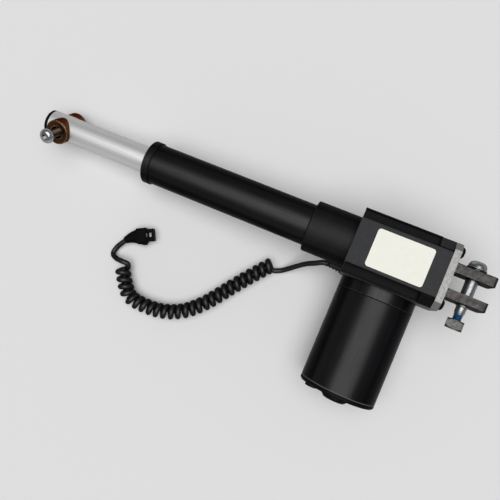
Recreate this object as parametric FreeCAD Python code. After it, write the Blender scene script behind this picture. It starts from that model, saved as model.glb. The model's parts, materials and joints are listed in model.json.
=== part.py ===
# Right-angle tilt actuator: a worm-geared motor turns a lead screw, whose nut drives the rod out of its tube.
# Sizes are millimetres. In the machine frame X runs along the tube towards the rod's end, the motor's axis
# runs along +Y across X = 0, and the bare plate's face looks up along +Z. The finished machine is then laid
# down as it rests: on the motor and on the lower saddle of the rod's eye, with its cord on the same surface.

import FreeCAD
import Part
import math
import os
from FreeCAD import Placement, Rotation, Vector

X = Vector(1, 0, 0)
Y = Vector(0, 1, 0)
Z = Vector(0, 0, 1)

# Fits
seat_gap = 0.02
running_gap = 0.08
free_gap = 0.3
slot_gap = 0.1

# Forms that the screws and nuts share
button_crown_share = 0.42
dome_middle_rise = 0.72
dome_middle_width = 0.8
cap_socket_share = 0.75
nut_face_share = 0.95
nut_corner_cut_degrees = 30.0

# Gearbox housing
housing_length = 79.0
housing_width = 59.0
housing_height = 60.0
motor_axis_to_rear = 41.5
top_face_width = 40.6
channel_depth = 9.0
channel_lip = 1.2
channel_lip_drop = 5.0
corner_block_length = 12.0
block_groove_width = 1.3
block_groove_depth = 3.6
block_top_drop = 1.6
corner_chamfer = 6.6
top_edge_ease = 0.8
gear_bore = 30.0
front_wall = 10.5
front_wall_hole = 20.0
motor_seat_thickness = 6.0

# Rear plate and clevis
plate_thickness = 6.0
plate_screw_side_inset = 6.5
plate_screw_end_inset = 9.5
plate_screw_diameter = 6.0
plate_screw_bite = 10.0
plate_screw_head = 10.5
plate_screw_head_height = 3.4
plate_screw_socket = 4.0
clevis_base_width = 44.0
clevis_base_height = 32.0
clevis_base_thickness = 6.0
ear_gap = 14.5
ear_thickness = 8.5
ear_height = 28.0
ear_reach = 37.7
ear_corner_radius = 3.0
rear_bolt_inset = 16.7
ear_edge_chamfer = 0.8

# Rear bolt and nut
rear_bolt_stand = 1.7
rear_bolt_shoulder = 10.8
rear_bolt_shoulder_past_ear = 1.5
rear_bolt_hole_play = 0.25
rear_bolt_neck = 9.0
rear_bolt_neck_length = 5.7
rear_bolt_thread = 8.0
rear_bolt_length = 55.0
rear_bolt_head = 17.2
rear_bolt_head_height = 7.0
rear_bolt_flange = 1.2
rear_bolt_socket = 6.0
rear_bolt_socket_depth = 3.2
rear_nut_sides = 4
rear_nut_across_flats = 14.4
rear_nut_height = 8.4
rear_nut_turn_degrees = 12.0
rear_nut_to_bolt_end = 0.1

# Collar, outer tube and front cap
collar_diameter = 47.5
collar_length = 40.5
collar_edge = 0.8
tube_diameter = 38.5
tube_wall = 2.0
tube_length = 201.8
cap_diameter = 41.0
cap_length = 7.3
cap_front_wall = 3.0
cap_edge = 0.7
guide_bush_length = 24.0
wiper_length = 5.0

# Rod and its end
rod_diameter = 25.0
rod_wall = 2.5
rod_length = 236.7
rod_reach = 350.7
rod_plug_flange = 3.6
rod_plug_rim_inset = 0.2
rod_plug_spigot = 6.0
eye_inset = 14.3
eye_turn = 57.5
eye_bore = 12.5
saddle_diameter = 23.5
saddle_face = 16.8
saddle_edge = 0.6
cross_bush_inset = 4.0

# Front screw
front_screw_diameter = 8.0
front_screw_length = 45.0
front_screw_stand = 30.3
front_screw_head = 14.0
front_screw_head_height = 4.4
front_screw_flange = 0.4
front_screw_socket = 5.0
front_screw_socket_depth = 2.6

# Lead screw, nut and worm wheel
screw_diameter = 14.0
screw_journal = 10.0
screw_rear_clear = 2.5
screw_front_clear = 6.0
screw_tip_length = 8.0
screw_tip_diameter = 8.0
tip_guide_length = 6.0
drive_nut_length = 25.0
drive_nut_flange = 8.0
bearing_width = 9.0
screw_shoulder_clear = 1.9
wheel_width = 14.0
wheel_teeth = 22
wheel_tooth_height = 2.4
wheel_tooth_tip_share = 0.154
wheel_tooth_root_share = 0.42
lock_nut_diameter = 18.0
lock_nut_length = 6.0

# Limit switches
switch_board_width = 8.0
switch_board_thickness = 1.6
switch_board_rear_clear = 12.5
switch_board_front_clear = 13.0
switch_body_length = 12.0
switch_body_width = 6.0
switch_body_height = 1.8
switch_notch_play = 0.7

# Motor
worm_offset = 18.0
motor_diameter = 70.0
motor_wall = 2.5
adaptor_length = 9.7
adaptor_spigot = 4.0
spigot_wall = 4.0
can_length = 87.3
can_edge = 0.6
end_cap_band = 3.5
end_cap_edge = 1.0
hub_diameter = 24.0
hub_height = 6.8
hub_edge = 2.0
lug_diameter = 10.6
lug_height = 1.8
motor_shaft_diameter = 8.0
worm_bore = 14.0
worm_blind_end = 2.5
worm_bush_length = 6.0
motor_bearing_diameter = 22.0
motor_bearing_width = 7.0
adaptor_shaft_hole = 14.0
adaptor_screw_circle = 52.0
adaptor_screw_diameter = 4.0
adaptor_screw_head = 7.0
adaptor_screw_head_height = 4.0
adaptor_screw_bite = 5.0
through_bolt_circle = 57.0
through_bolt_diameter = 4.0
through_bolt_head = 7.0
through_bolt_head_height = 3.0
through_bolt_sink = 0.2
through_bolt_angle_degrees = 35.0
through_bolt_hole_floor = 2.5
through_bolt_tip_clear = 2.5
magnet_thickness = 8.5
magnet_span = 110.0
magnet_start = 10.8
magnet_length = 52.0
armature_diameter = 44.0
armature_length = 44.0
armature_start = 14.8
winding_diameter = 37.0
winding_length = 8.0
commutator_diameter = 20.0
commutator_length = 10.0
brush_card_thickness = 3.0
brush_card_from_end = 4.5
brush_card_play = 1.0
brush_size = 6.0
brush_length = 14.0
brush_front_inset = 2.5

# Cord, gland and plug
cord_diameter = 5.0
curl_diameter = 15.0
gland_side_inset = 5.0
gland_drop = 17.0
gland_flange_diameter = 9.0
gland_flange_length = 2.0
gland_length = 15.0
gland_root_diameter = 8.0
gland_nose_diameter = 6.4
gland_ribs = 4
gland_rib_depth = 0.7
gland_play = 0.15
gland_grip = 7.5
gland_lead_out = 5.5
boot_length = 13.0
boot_bend_degrees = -25.0
boot_nose_width = 6.8
boot_nose_height = 6.6
boot_root_width = 14.6
boot_root_height = 9.6
boot_sections = 6
boot_flare = 1.1
plug_length = 17.0
plug_shell_length = 9.5
plug_width = 15.4
plug_height = 11.0
plug_floor_gap = 0.5
plug_edge = 2.2
nose_inset = 1.6
nose_edge = 1.0
plug_window_along = 2.4
plug_window_across = 4.2
plug_window_depth = 1.6
plug_window_pitch = 4.4
plug_window_from_mouth = 2.2
terminal_thickness = 1.0
latch_length = 8.0
latch_width = 5.0
latch_height = 1.5
latch_ramp_share = 0.6

# The cord's route on the surface, from the spot below the crossing of the tube's and the motor's axes;
# the lead comes out along the gland's axis and then follows its list
lead_route = [
    (69.0, 28.2, 22.6), (78.5, 32.0, 13.8), (88.0, 36.0, 7.6), (95.5, 44.0, 7.6),
]
curl_route = [
    (95.5, 44.0, 7.6), (119.0, 69.0, 7.6), (150.0, 112.0, 7.6), (176.0, 129.0, 7.6), (206.0, 132.0, 7.6),
    (221.8, 125.6, 7.6), (230.0, 110.0, 7.6),
]
tail_route = [
    (230.0, 110.0, 7.6), (233.5, 103.3, 7.6), (241.5, 100.2, 5.0), (249.3, 95.6, 3.6), (246.9, 85.6, 6.0),
    (242.4, 79.6, 6.0),
]

# Places that follow from the sizes above
housing_rear = -motor_axis_to_rear
housing_front = housing_rear + housing_length
half_width = housing_width / 2
half_height = housing_height / 2
half_top = top_face_width / 2
plate_rear = housing_rear - plate_thickness
ear_tip = plate_rear - ear_reach
rear_bolt_x = ear_tip + rear_bolt_inset
ear_outer = ear_gap / 2 + ear_thickness
tube_bore = tube_diameter - 2 * tube_wall
tube_front = housing_front + tube_length
cap_front = tube_front + cap_front_wall
guide_bush_rear = tube_front - wiper_length - guide_bush_length
switch_board_start = housing_front + switch_board_rear_clear
switch_board_end = guide_bush_rear - switch_board_front_clear
screw_rear_end = housing_rear + clevis_base_thickness + screw_rear_clear
screw_front_end = tube_front - screw_front_clear
rod_radius = rod_diameter / 2
rod_bore = rod_diameter - 2 * rod_wall
rod_rear = rod_reach - rod_length
eye_x = rod_reach - eye_inset
eye_axis = Vector(0, math.cos(math.radians(eye_turn)), math.sin(math.radians(eye_turn)))
eye_centre = Vector(eye_x, 0, 0)
motor_radius = motor_diameter / 2
motor_bore = motor_diameter - 2 * motor_wall
can_front = half_width + adaptor_length
can_rear = can_front + can_length
cap_face = can_rear + end_cap_band
motor_centre = Vector(0, 0, -worm_offset)


def box(low, high):
    """Block between two corners."""
    size = high.sub(low)
    return Part.makeBox(size.x, size.y, size.z, low)


def rod_shape(diameter, length, start, axis):
    """Plain round bar."""
    return Part.makeCylinder(diameter / 2, length, start, axis)


def ring_shape(outer, inner, length, start, axis):
    """Plain tube or ring."""
    return rod_shape(outer, length, start, axis).cut(rod_shape(inner, length, start, axis))


def turned(outline, start, axis):
    """Turned piece: the outline is pairs of distance along the axis and radius."""
    points = [Vector(along, radius, 0) for along, radius in outline]
    face = Part.Face(Part.makePolygon(points + points[:1]))
    solid = face.revolve(Vector(0, 0, 0), X, 360)
    solid.Placement = Placement(start, Rotation(X, axis))
    return solid


def prism(outline, length, start, along, across, up):
    """Straight extrusion: the outline is pairs measured along the directions across and up."""
    points = [start.add(across * a).add(up * b) for a, b in outline]
    return Part.Face(Part.makePolygon(points + points[:1])).extrude(along * length)


def corner_reach(sides, across_flats):
    """Distance from the middle to a corner of an even-sided outline."""
    return across_flats / 2 / math.cos(math.pi / sides)


def flat_sided(sides, across_flats):
    """Corners of an even-sided outline of the given width across its flats."""
    corner = corner_reach(sides, across_flats)
    turns = [2 * math.pi * (k + 0.5) / sides for k in range(sides)]
    return [(corner * math.cos(turn), corner * math.sin(turn)) for turn in turns]


def sided_bar(sides, across_flats, length, start, axis, turn=0.0):
    """Bar with flat sides along any axis, turned about it by an angle in degrees."""
    bar = prism(flat_sided(sides, across_flats), length, Vector(0, 0, 0), X, Y, Z)
    bar.Placement = Placement(start, Rotation(X, axis).multiply(Rotation(X, turn)))
    return bar


def socket(across_flats, depth, start):
    """Six-sided hole for a key, sunk along X from a screw's top."""
    return sided_bar(6, across_flats, depth, start, X)


def on_motor(y, radius=0.0, turn=0.0):
    """Point at a place along the motor's axis, out from it at an angle from +X towards +Z."""
    angle = math.radians(turn)
    return Vector(radius * math.cos(angle), y, radius * math.sin(angle) - worm_offset)


def octagon(width, height, chamfer):
    """Rectangle with its four corners cut off, as pairs across and up."""
    w, h = width / 2, height / 2
    right = [(w, chamfer - h), (w, h - chamfer), (w - chamfer, h)]
    left = [(chamfer - w, h), (-w, h - chamfer), (-w, chamfer - h)]
    return right + left + [(chamfer - w, -h), (w - chamfer, -h)]


def mirrored(half):
    """Closed outline from its right-hand half, listed from top to bottom."""
    return half + [(-a, b) for a, b in reversed(half)]


def plate_screw_places():
    """Corner places of the rear plate's screws, across and up."""
    across = half_width - plate_screw_side_inset
    up = half_height - plate_screw_end_inset
    return [(s * across, t * up) for s in (-1, 1) for t in (-1, 1)]


def adaptor_screw_turns():
    """Angles of the adaptor's screws round the motor's axis."""
    return [0.0, 90.0, 180.0, 270.0]


def through_bolt_turns():
    """Angles of the two through bolts round the motor's axis."""
    return [through_bolt_angle_degrees, through_bolt_angle_degrees + 180.0]


def gearbox_housing():
    """Cast block with an open channel along each upper edge, bored for the gears and seated for the motor."""
    floor = half_height - channel_depth
    lip_top = half_height - channel_lip_drop
    foot = [(half_width, corner_chamfer - half_height), (half_width - corner_chamfer, -half_height)]
    face_edge = [(half_top - top_edge_ease, half_height), (half_top, half_height - top_edge_ease)]
    lip_inner = half_width - channel_lip
    channelled = face_edge + [(half_top, floor), (lip_inner, floor)]
    channelled += [(lip_inner, lip_top), (half_width, lip_top)] + foot
    groove_floor = half_height - block_groove_depth
    groove_far = half_top + block_groove_width
    blocked = face_edge + [(half_top, groove_floor), (groove_far, groove_floor)]
    blocked += [(groove_far, half_height - block_top_drop), (half_width, half_height - corner_chamfer)] + foot
    rear = Vector(housing_rear, 0, 0)
    split = Vector(housing_rear + corner_block_length, 0, 0)
    body = prism(mirrored(blocked), corner_block_length, rear, X, Y, Z)
    body = body.fuse(prism(mirrored(channelled), housing_length - corner_block_length, split, X, Y, Z))
    seat_start = half_width - motor_seat_thickness
    seat = rod_shape(motor_diameter, motor_seat_thickness, on_motor(seat_start), Y)
    reach = Vector(housing_front, half_width, motor_diameter)
    seat = seat.common(box(Vector(housing_rear, seat_start, -motor_diameter), reach))
    body = body.fuse(seat)
    body = body.removeSplitter()
    bore_end = housing_front - front_wall
    cuts = [rod_shape(gear_bore, bore_end - housing_rear, rear, X)]
    cuts.append(rod_shape(front_wall_hole, housing_length, rear, X))
    pocket_y = clevis_base_width / 2 + slot_gap
    pocket_z = clevis_base_height / 2 + slot_gap
    pocket_end = housing_rear + clevis_base_thickness
    cuts.append(box(Vector(housing_rear, -pocket_y, -pocket_z), Vector(pocket_end, pocket_y, pocket_z)))
    worm_end = worm_blind_end - half_width
    cuts.append(rod_shape(worm_bore, half_width - worm_end, on_motor(worm_end), Y))
    for across, up in plate_screw_places():
        hole = Vector(housing_rear, across, up)
        cuts.append(rod_shape(plate_screw_diameter + 2 * seat_gap, plate_screw_bite + slot_gap, hole, X))
    for turn in adaptor_screw_turns():
        hole = on_motor(half_width, adaptor_screw_circle / 2, turn)
        cuts.append(rod_shape(adaptor_screw_diameter + 2 * seat_gap, adaptor_screw_bite + slot_gap, hole, -Y))
    return body.cut(cuts)


def rear_plate():
    """Bare aluminium end plate with cut corners, slots for the clevis ears and four screw holes."""
    plate = prism(octagon(housing_width, housing_height, corner_chamfer), plate_thickness,
                  Vector(plate_rear, 0, 0), X, Y, Z)
    cuts = []
    half_slot = ear_height / 2 + slot_gap
    for side in (-1, 1):
        edges = sorted((side * (ear_gap / 2 - slot_gap), side * (ear_outer + slot_gap)))
        cuts.append(box(Vector(plate_rear, edges[0], -half_slot), Vector(housing_rear, edges[1], half_slot)))
    for across, up in plate_screw_places():
        hole = Vector(plate_rear, across, up)
        cuts.append(rod_shape(plate_screw_diameter + 2 * slot_gap, plate_thickness, hole, X))
    return plate.cut(cuts)


def button_screw(diameter, length, head, head_height, flange, key, key_depth, start, axis):
    """Button-head screw: the axis points from the head's seat along the shank."""
    dome_base = -flange
    crown = button_crown_share * head
    rise = head_height - flange
    rim = Vector(dome_base, head / 2, 0)
    mid = Vector(dome_base - dome_middle_rise * rise, dome_middle_width * head / 2, 0)
    top = Vector(-head_height, crown / 2, 0)
    top_middle = Vector(-head_height, 0, 0)
    edges = [Part.LineSegment(Vector(length, 0, 0), Vector(length, diameter / 2, 0)).toShape()]
    edges.append(Part.LineSegment(Vector(length, diameter / 2, 0), Vector(0, diameter / 2, 0)).toShape())
    edges.append(Part.LineSegment(Vector(0, diameter / 2, 0), Vector(0, head / 2, 0)).toShape())
    edges.append(Part.LineSegment(Vector(0, head / 2, 0), rim).toShape())
    edges.append(Part.Arc(rim, mid, top).toShape())
    edges.append(Part.LineSegment(top, top_middle).toShape())
    edges.append(Part.LineSegment(top_middle, Vector(length, 0, 0)).toShape())
    screw = Part.Face(Part.Wire(edges)).revolve(Vector(0, 0, 0), X, 360)
    screw = screw.cut(socket(key, key_depth, top_middle))
    screw.Placement = Placement(start, Rotation(X, axis))
    return screw


def cap_screw(diameter, length, head, head_height, key, key_depth, edge, start, axis):
    """Socket-head cap screw: the axis points from the head's seat along the shank."""
    outline = [(length, 0), (length, diameter / 2), (0, diameter / 2), (0, head / 2)]
    outline += [(edge - head_height, head / 2), (-head_height, head / 2 - edge), (-head_height, 0)]
    screw = turned(outline, Vector(0, 0, 0), X)
    screw = screw.cut(socket(key, key_depth, Vector(-head_height, 0, 0)))
    screw.Placement = Placement(start, Rotation(X, axis))
    return screw


def rear_plate_screws():
    """Four black button-head screws through the rear plate into the corner blocks."""
    screws = []
    for across, up in plate_screw_places():
        seat = Vector(plate_rear, across, up)
        screws.append(button_screw(plate_screw_diameter, plate_thickness + plate_screw_bite, plate_screw_head,
                                   plate_screw_head_height, seat_gap, plate_screw_socket,
                                   plate_screw_head_height / 2, seat, X))
    return Part.makeCompound(screws)


def ear(side):
    """One clevis ear from the base to its tip, whose two corners are rounded."""
    half = ear_height / 2
    root = housing_rear + clevis_base_thickness
    edges = sorted((side * ear_gap / 2, side * ear_outer))
    bar = box(Vector(ear_tip, edges[0], -half), Vector(root, edges[1], half))
    corners = [e for e in bar.Edges if abs(e.CenterOfMass.x - ear_tip) < 1e-6
               and abs(abs(e.CenterOfMass.z) - half) < 1e-6]
    return bar.makeFillet(ear_corner_radius, corners)


def rear_clevis():
    """Forked steel end: a base held in the housing behind the rear plate, and two ears through its slots."""
    half_y, half_z = clevis_base_width / 2, clevis_base_height / 2
    base_front = housing_rear + clevis_base_thickness
    base = box(Vector(housing_rear, -half_y, -half_z), Vector(base_front, half_y, half_z))
    clevis = base.fuse([ear(-1), ear(1)]).removeSplitter()
    outside = [e for e in clevis.Edges if e.CenterOfMass.x < plate_rear
               and abs(abs(e.CenterOfMass.y) - ear_outer) < 1e-6]
    clevis = clevis.makeChamfer(ear_edge_chamfer, outside)
    hole = rear_bolt_shoulder + 2 * rear_bolt_hole_play
    return clevis.cut(rod_shape(hole, housing_width, Vector(rear_bolt_x, -half_width, 0), Y))


def rear_bolt_seat():
    """Place along Y of the underside of the rear bolt's head."""
    return -ear_outer - rear_bolt_stand


def rear_bolt():
    """Shoulder bolt through both ears: button head, smooth shoulder, a neck and a thinner threaded end."""
    seat = Vector(rear_bolt_x, rear_bolt_seat(), 0)
    shoulder = ear_outer + rear_bolt_shoulder_past_ear - rear_bolt_seat()
    bolt = button_screw(rear_bolt_shoulder, shoulder, rear_bolt_head, rear_bolt_head_height, rear_bolt_flange,
                        rear_bolt_socket, rear_bolt_socket_depth, seat, Y)
    neck = rod_shape(rear_bolt_neck, shoulder + rear_bolt_neck_length, seat, Y)
    return bolt.fuse([neck, rod_shape(rear_bolt_thread, rear_bolt_length, seat, Y)]).removeSplitter()


def rear_nut_start():
    """Place along Y of the nut's inner face."""
    return rear_bolt_seat() + rear_bolt_length - rear_nut_to_bolt_end - rear_nut_height


def rear_nut():
    """Square nut on the bolt's end, its corners cut back by a cone on both faces."""
    start = Vector(rear_bolt_x, rear_nut_start(), 0)
    nut = sided_bar(rear_nut_sides, rear_nut_across_flats, rear_nut_height, start, Y, rear_nut_turn_degrees)
    corner = corner_reach(rear_nut_sides, rear_nut_across_flats)
    face = nut_face_share * rear_nut_across_flats / 2
    drop = (corner - face) * math.tan(math.radians(nut_corner_cut_degrees))
    outline = [(0, 0), (0, face), (drop, corner), (rear_nut_height - drop, corner)]
    cone = turned(outline + [(rear_nut_height, face), (rear_nut_height, 0)], start, Y)
    return nut.common(cone).cut(rod_shape(rear_bolt_thread + 2 * seat_gap, rear_nut_height, start, Y))


def front_collar():
    """Sleeve that carries the outer tube on the housing's front face."""
    outer, inner = collar_diameter / 2, tube_diameter / 2 + seat_gap
    outline = [(0, inner), (0, outer), (collar_length - collar_edge, outer)]
    outline += [(collar_length, outer - collar_edge), (collar_length, inner)]
    return turned(outline, Vector(housing_front, 0, 0), X)


def outer_tube():
    return ring_shape(tube_diameter, tube_bore, tube_length, Vector(housing_front, 0, 0), X)


def front_cap():
    """Plastic cap over the tube's mouth, with a hole for the rod."""
    outer, tube_seat = cap_diameter / 2, tube_diameter / 2 + seat_gap
    hole = rod_radius + free_gap
    outline = [(0, tube_seat), (0, outer - cap_edge), (cap_edge, outer)]
    outline += [(cap_length - cap_edge, outer), (cap_length, outer - cap_edge)]
    mouth_wall = cap_length - cap_front_wall
    outline += [(cap_length, hole), (mouth_wall, hole), (mouth_wall, tube_seat)]
    return turned(outline, Vector(cap_front - cap_length, 0, 0), X)


def rod_wiper():
    start = Vector(tube_front - wiper_length, 0, 0)
    return ring_shape(tube_bore - 2 * seat_gap, rod_diameter + 2 * running_gap, wiper_length, start, X)


def guide_bush():
    start = Vector(guide_bush_rear, 0, 0)
    return ring_shape(tube_bore - 2 * seat_gap, rod_diameter + 2 * running_gap, guide_bush_length, start, X)


def switch_board_bottom():
    """Height of the switch board's underside, where its corners sit on the tube's wall."""
    reach = tube_bore / 2 - slot_gap
    return -math.sqrt(reach ** 2 - (switch_board_width / 2) ** 2)


def limit_switch_board():
    low = switch_board_bottom()
    half = switch_board_width / 2
    return box(Vector(switch_board_start, -half, low),
               Vector(switch_board_end, half, low + switch_board_thickness))


def limit_switches():
    """One flat switch at each end of the board."""
    low = switch_board_bottom() + switch_board_thickness
    half = switch_body_width / 2
    last = switch_board_end - switch_body_length
    top = low + switch_body_height
    return Part.makeCompound([box(Vector(x, -half, low), Vector(x + switch_body_length, half, top))
                              for x in (switch_board_start, last)])


def inner_tube():
    """Rod of drawn tube, cross-drilled near its end for the eye's bush."""
    tube = ring_shape(rod_diameter, rod_bore, rod_length, Vector(rod_rear, 0, 0), X)
    return tube.cut(eye_bar(eye_bore, rod_diameter, -rod_diameter))


def eye_point(height):
    """Point on the eye's axis at a distance from the rod's axis, positive on the upper side."""
    return eye_centre.add(eye_axis * height)


def eye_bar(diameter, high, low):
    return rod_shape(diameter, high - low, eye_point(low), eye_axis)


def saddle(side):
    """Round spacer whose inner face is coped to sit on the rod."""
    face = saddle_diameter / 2
    outline = [(0, eye_bore / 2), (0, face), (saddle_face - saddle_edge, face)]
    outline += [(saddle_face, face - saddle_edge), (saddle_face, eye_bore / 2)]
    spacer = turned(outline, eye_centre, eye_axis * side)
    start = Vector(eye_x - saddle_diameter, 0, 0)
    return spacer.cut(rod_shape(rod_diameter + 2 * seat_gap, 2 * saddle_diameter, start, X))


def cross_bush():
    """Threaded sleeve through the rod's wall and both saddles, sunk below their faces."""
    reach = saddle_face - cross_bush_inset
    sleeve = eye_bar(eye_bore - 2 * seat_gap, reach, -reach)
    return sleeve.cut(eye_bar(front_screw_diameter + 2 * seat_gap, reach, -reach))


def front_screw():
    """Button-head screw driven part of the way into the cross bush, its head off the upper saddle."""
    return button_screw(front_screw_diameter, front_screw_length, front_screw_head, front_screw_head_height,
                        front_screw_flange, front_screw_socket, front_screw_socket_depth,
                        eye_point(front_screw_stand), eye_axis * -1)


def rod_end_plug():
    rim = rod_radius - rod_plug_rim_inset
    spigot = rod_bore / 2 - seat_gap
    outline = [(-rod_plug_spigot, 0), (-rod_plug_spigot, spigot), (0, spigot), (0, rim)]
    outline += [(rod_plug_flange - cap_edge, rim), (rod_plug_flange, rim - cap_edge), (rod_plug_flange, 0)]
    return turned(outline, Vector(rod_reach, 0, 0), X)


def drive_nut():
    """Nut in the rod's rear end; its flange guides the rod in the tube and is notched over the switches."""
    flange_start = Vector(rod_rear - drive_nut_flange, 0, 0)
    flange = rod_shape(tube_bore - 2 * free_gap, drive_nut_flange, flange_start, X)
    body = rod_shape(rod_bore - 2 * seat_gap, drive_nut_length, Vector(rod_rear, 0, 0), X)
    nut = flange.fuse(body).removeSplitter()
    bore = rod_shape(screw_diameter + 2 * running_gap, drive_nut_flange + drive_nut_length, flange_start, X)
    half = switch_board_width / 2 + switch_notch_play
    top = switch_board_bottom() + switch_board_thickness + switch_body_height + switch_notch_play
    notch = box(Vector(rod_rear - drive_nut_flange, -half, -tube_bore / 2), Vector(rod_rear, half, top))
    return nut.cut([bore, notch])


def lead_screw():
    """Screw on its gear journal, reduced at the front for the tip guide; its thread is left plain."""
    shoulder = wheel_width / 2 + slot_gap + bearing_width + screw_shoulder_clear
    tip = screw_front_end - screw_tip_length
    outline = [(screw_rear_end, 0), (screw_rear_end, screw_journal / 2), (shoulder, screw_journal / 2)]
    outline += [(shoulder, screw_diameter / 2), (tip, screw_diameter / 2), (tip, screw_tip_diameter / 2)]
    outline += [(screw_front_end, screw_tip_diameter / 2), (screw_front_end, 0)]
    return turned(outline, Vector(0, 0, 0), X)


def screw_tip_guide():
    start = Vector(screw_front_end - screw_tip_length, 0, 0)
    return ring_shape(rod_bore - 2 * free_gap, screw_tip_diameter + 2 * seat_gap, tip_guide_length, start, X)


def worm_wheel_tip():
    """Tip radius that clears the worm's root."""
    return worm_offset - motor_shaft_diameter / 2 - free_gap


def worm_wheel():
    """Toothed wheel on the screw's journal, in mesh with the worm below it."""
    tip = worm_wheel_tip()
    root = tip - wheel_tooth_height
    pitch = 360.0 / wheel_teeth
    outline = []
    for tooth in range(wheel_teeth):
        for radius, share in ((root, -wheel_tooth_root_share), (tip, -wheel_tooth_tip_share),
                              (tip, wheel_tooth_tip_share), (root, wheel_tooth_root_share)):
            angle = math.radians(pitch * (tooth + share))
            outline.append((radius * math.cos(angle), radius * math.sin(angle)))
    wheel = prism(outline, wheel_width, Vector(-wheel_width / 2, 0, 0), X, Y, Z)
    bore = rod_shape(screw_journal + 2 * seat_gap, wheel_width, Vector(-wheel_width / 2, 0, 0), X)
    return wheel.cut(bore)


def screw_bearing(side):
    """Ball bearing of the lead screw, in front of or behind the worm wheel."""
    near = wheel_width / 2 + slot_gap
    start = near if side > 0 else -near - bearing_width
    bore = screw_journal + 2 * running_gap
    return ring_shape(gear_bore - 2 * seat_gap, bore, bearing_width, Vector(start, 0, 0), X)


def screw_lock_nut():
    start = -wheel_width / 2 - 2 * slot_gap - bearing_width - lock_nut_length
    bore = screw_journal + 2 * seat_gap
    return ring_shape(lock_nut_diameter, bore, lock_nut_length, Vector(start, 0, 0), X)


def motor_adaptor():
    """Flange between housing and motor, with a spigot for the can and a seat for the front bearing."""
    body = rod_shape(motor_diameter, adaptor_length, on_motor(half_width), Y)
    spigot_outer = motor_bore - 2 * seat_gap
    spigot = ring_shape(spigot_outer, spigot_outer - 2 * spigot_wall, adaptor_spigot, on_motor(can_front), Y)
    body = body.fuse(spigot).removeSplitter()
    bearing_start = can_front - motor_bearing_width
    cuts = [rod_shape(adaptor_shaft_hole, adaptor_length, on_motor(half_width), Y)]
    cuts.append(rod_shape(motor_bearing_diameter, motor_bearing_width, on_motor(bearing_start), Y))
    for turn in adaptor_screw_turns():
        place = on_motor(half_width, adaptor_screw_circle / 2, turn)
        cuts.append(rod_shape(adaptor_screw_diameter + 2 * slot_gap, adaptor_length, place, Y))
        head = on_motor(can_front - adaptor_screw_head_height, adaptor_screw_circle / 2, turn)
        head_depth = adaptor_screw_head_height + adaptor_spigot
        cuts.append(rod_shape(adaptor_screw_head + 2 * slot_gap, head_depth, head, Y))
    for turn in through_bolt_turns():
        start = on_motor(half_width + through_bolt_hole_floor, through_bolt_circle / 2, turn)
        hole = through_bolt_diameter + 2 * seat_gap
        cuts.append(rod_shape(hole, adaptor_length + adaptor_spigot, start, Y))
    return body.cut(cuts)


def adaptor_screws():
    """Four cap screws that hold the adaptor to the housing."""
    shank = adaptor_length - adaptor_screw_head_height + adaptor_screw_bite
    screws = []
    for turn in adaptor_screw_turns():
        seat = on_motor(can_front - adaptor_screw_head_height, adaptor_screw_circle / 2, turn)
        screws.append(cap_screw(adaptor_screw_diameter, shank, adaptor_screw_head, adaptor_screw_head_height,
                                adaptor_screw_diameter * cap_socket_share, adaptor_screw_head_height / 2,
                                can_edge, seat, Y * -1))
    return Part.makeCompound(screws)


def motor_can():
    """Drawn steel can, open at both ends, with its rear edge eased."""
    outer, inner = motor_diameter / 2, motor_bore / 2
    outline = [(0, inner), (0, outer), (can_length - can_edge, outer), (can_length, outer - can_edge)]
    return turned(outline + [(can_length, inner)], on_motor(can_front), Y)


def motor_end_cap():
    """Moulded end cap with a bearing hub and two lugs for the through bolts."""
    outer = motor_diameter / 2
    hub, spigot = hub_diameter / 2, motor_bore / 2 - seat_gap
    face, top = end_cap_band, end_cap_band + hub_height
    outline = [(0, 0), (0, outer - end_cap_edge / 2), (end_cap_edge / 2, outer), (face - end_cap_edge, outer)]
    outline += [(face, outer - end_cap_edge), (face, hub), (top - hub_edge, hub)]
    outline += [(top, hub - hub_edge), (top, 0)]
    cap = turned(outline, on_motor(can_rear), Y)
    spigot_start = can_rear - adaptor_spigot
    spigot_bore = 2 * (spigot - spigot_wall)
    cap = cap.fuse(ring_shape(2 * spigot, spigot_bore, adaptor_spigot, on_motor(spigot_start), Y))
    for turn in through_bolt_turns():
        lug_place = on_motor(cap_face, through_bolt_circle / 2, turn)
        cap = cap.fuse(rod_shape(lug_diameter, lug_height, lug_place, Y))
    cap = cap.removeSplitter()
    cuts = [rod_shape(worm_bore, motor_bearing_width, on_motor(can_rear), Y)]
    for turn in through_bolt_turns():
        start = on_motor(spigot_start, through_bolt_circle / 2, turn)
        hole = through_bolt_diameter + 2 * slot_gap
        cuts.append(rod_shape(hole, adaptor_length + adaptor_spigot, start, Y))
        sink = on_motor(through_bolt_seat(), through_bolt_circle / 2, turn)
        sink_depth = through_bolt_head_height + through_bolt_sink
        cuts.append(rod_shape(through_bolt_head + 2 * slot_gap, sink_depth, sink, Y))
    return cap.cut(cuts)


def through_bolt_seat():
    """Place along Y of the through bolts' seats, sunk in the end cap's lugs."""
    return cap_face + lug_height - through_bolt_sink - through_bolt_head_height


def motor_through_bolts():
    """Two long screws that clamp the end cap and can to the adaptor."""
    seat_y = through_bolt_seat()
    shank = seat_y - half_width - through_bolt_hole_floor - through_bolt_tip_clear
    return Part.makeCompound([
        cap_screw(through_bolt_diameter, shank, through_bolt_head, through_bolt_head_height,
                  through_bolt_diameter * cap_socket_share, through_bolt_head_height / 2, can_edge,
                  on_motor(seat_y, through_bolt_circle / 2, turn), Y * -1) for turn in through_bolt_turns()])


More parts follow.
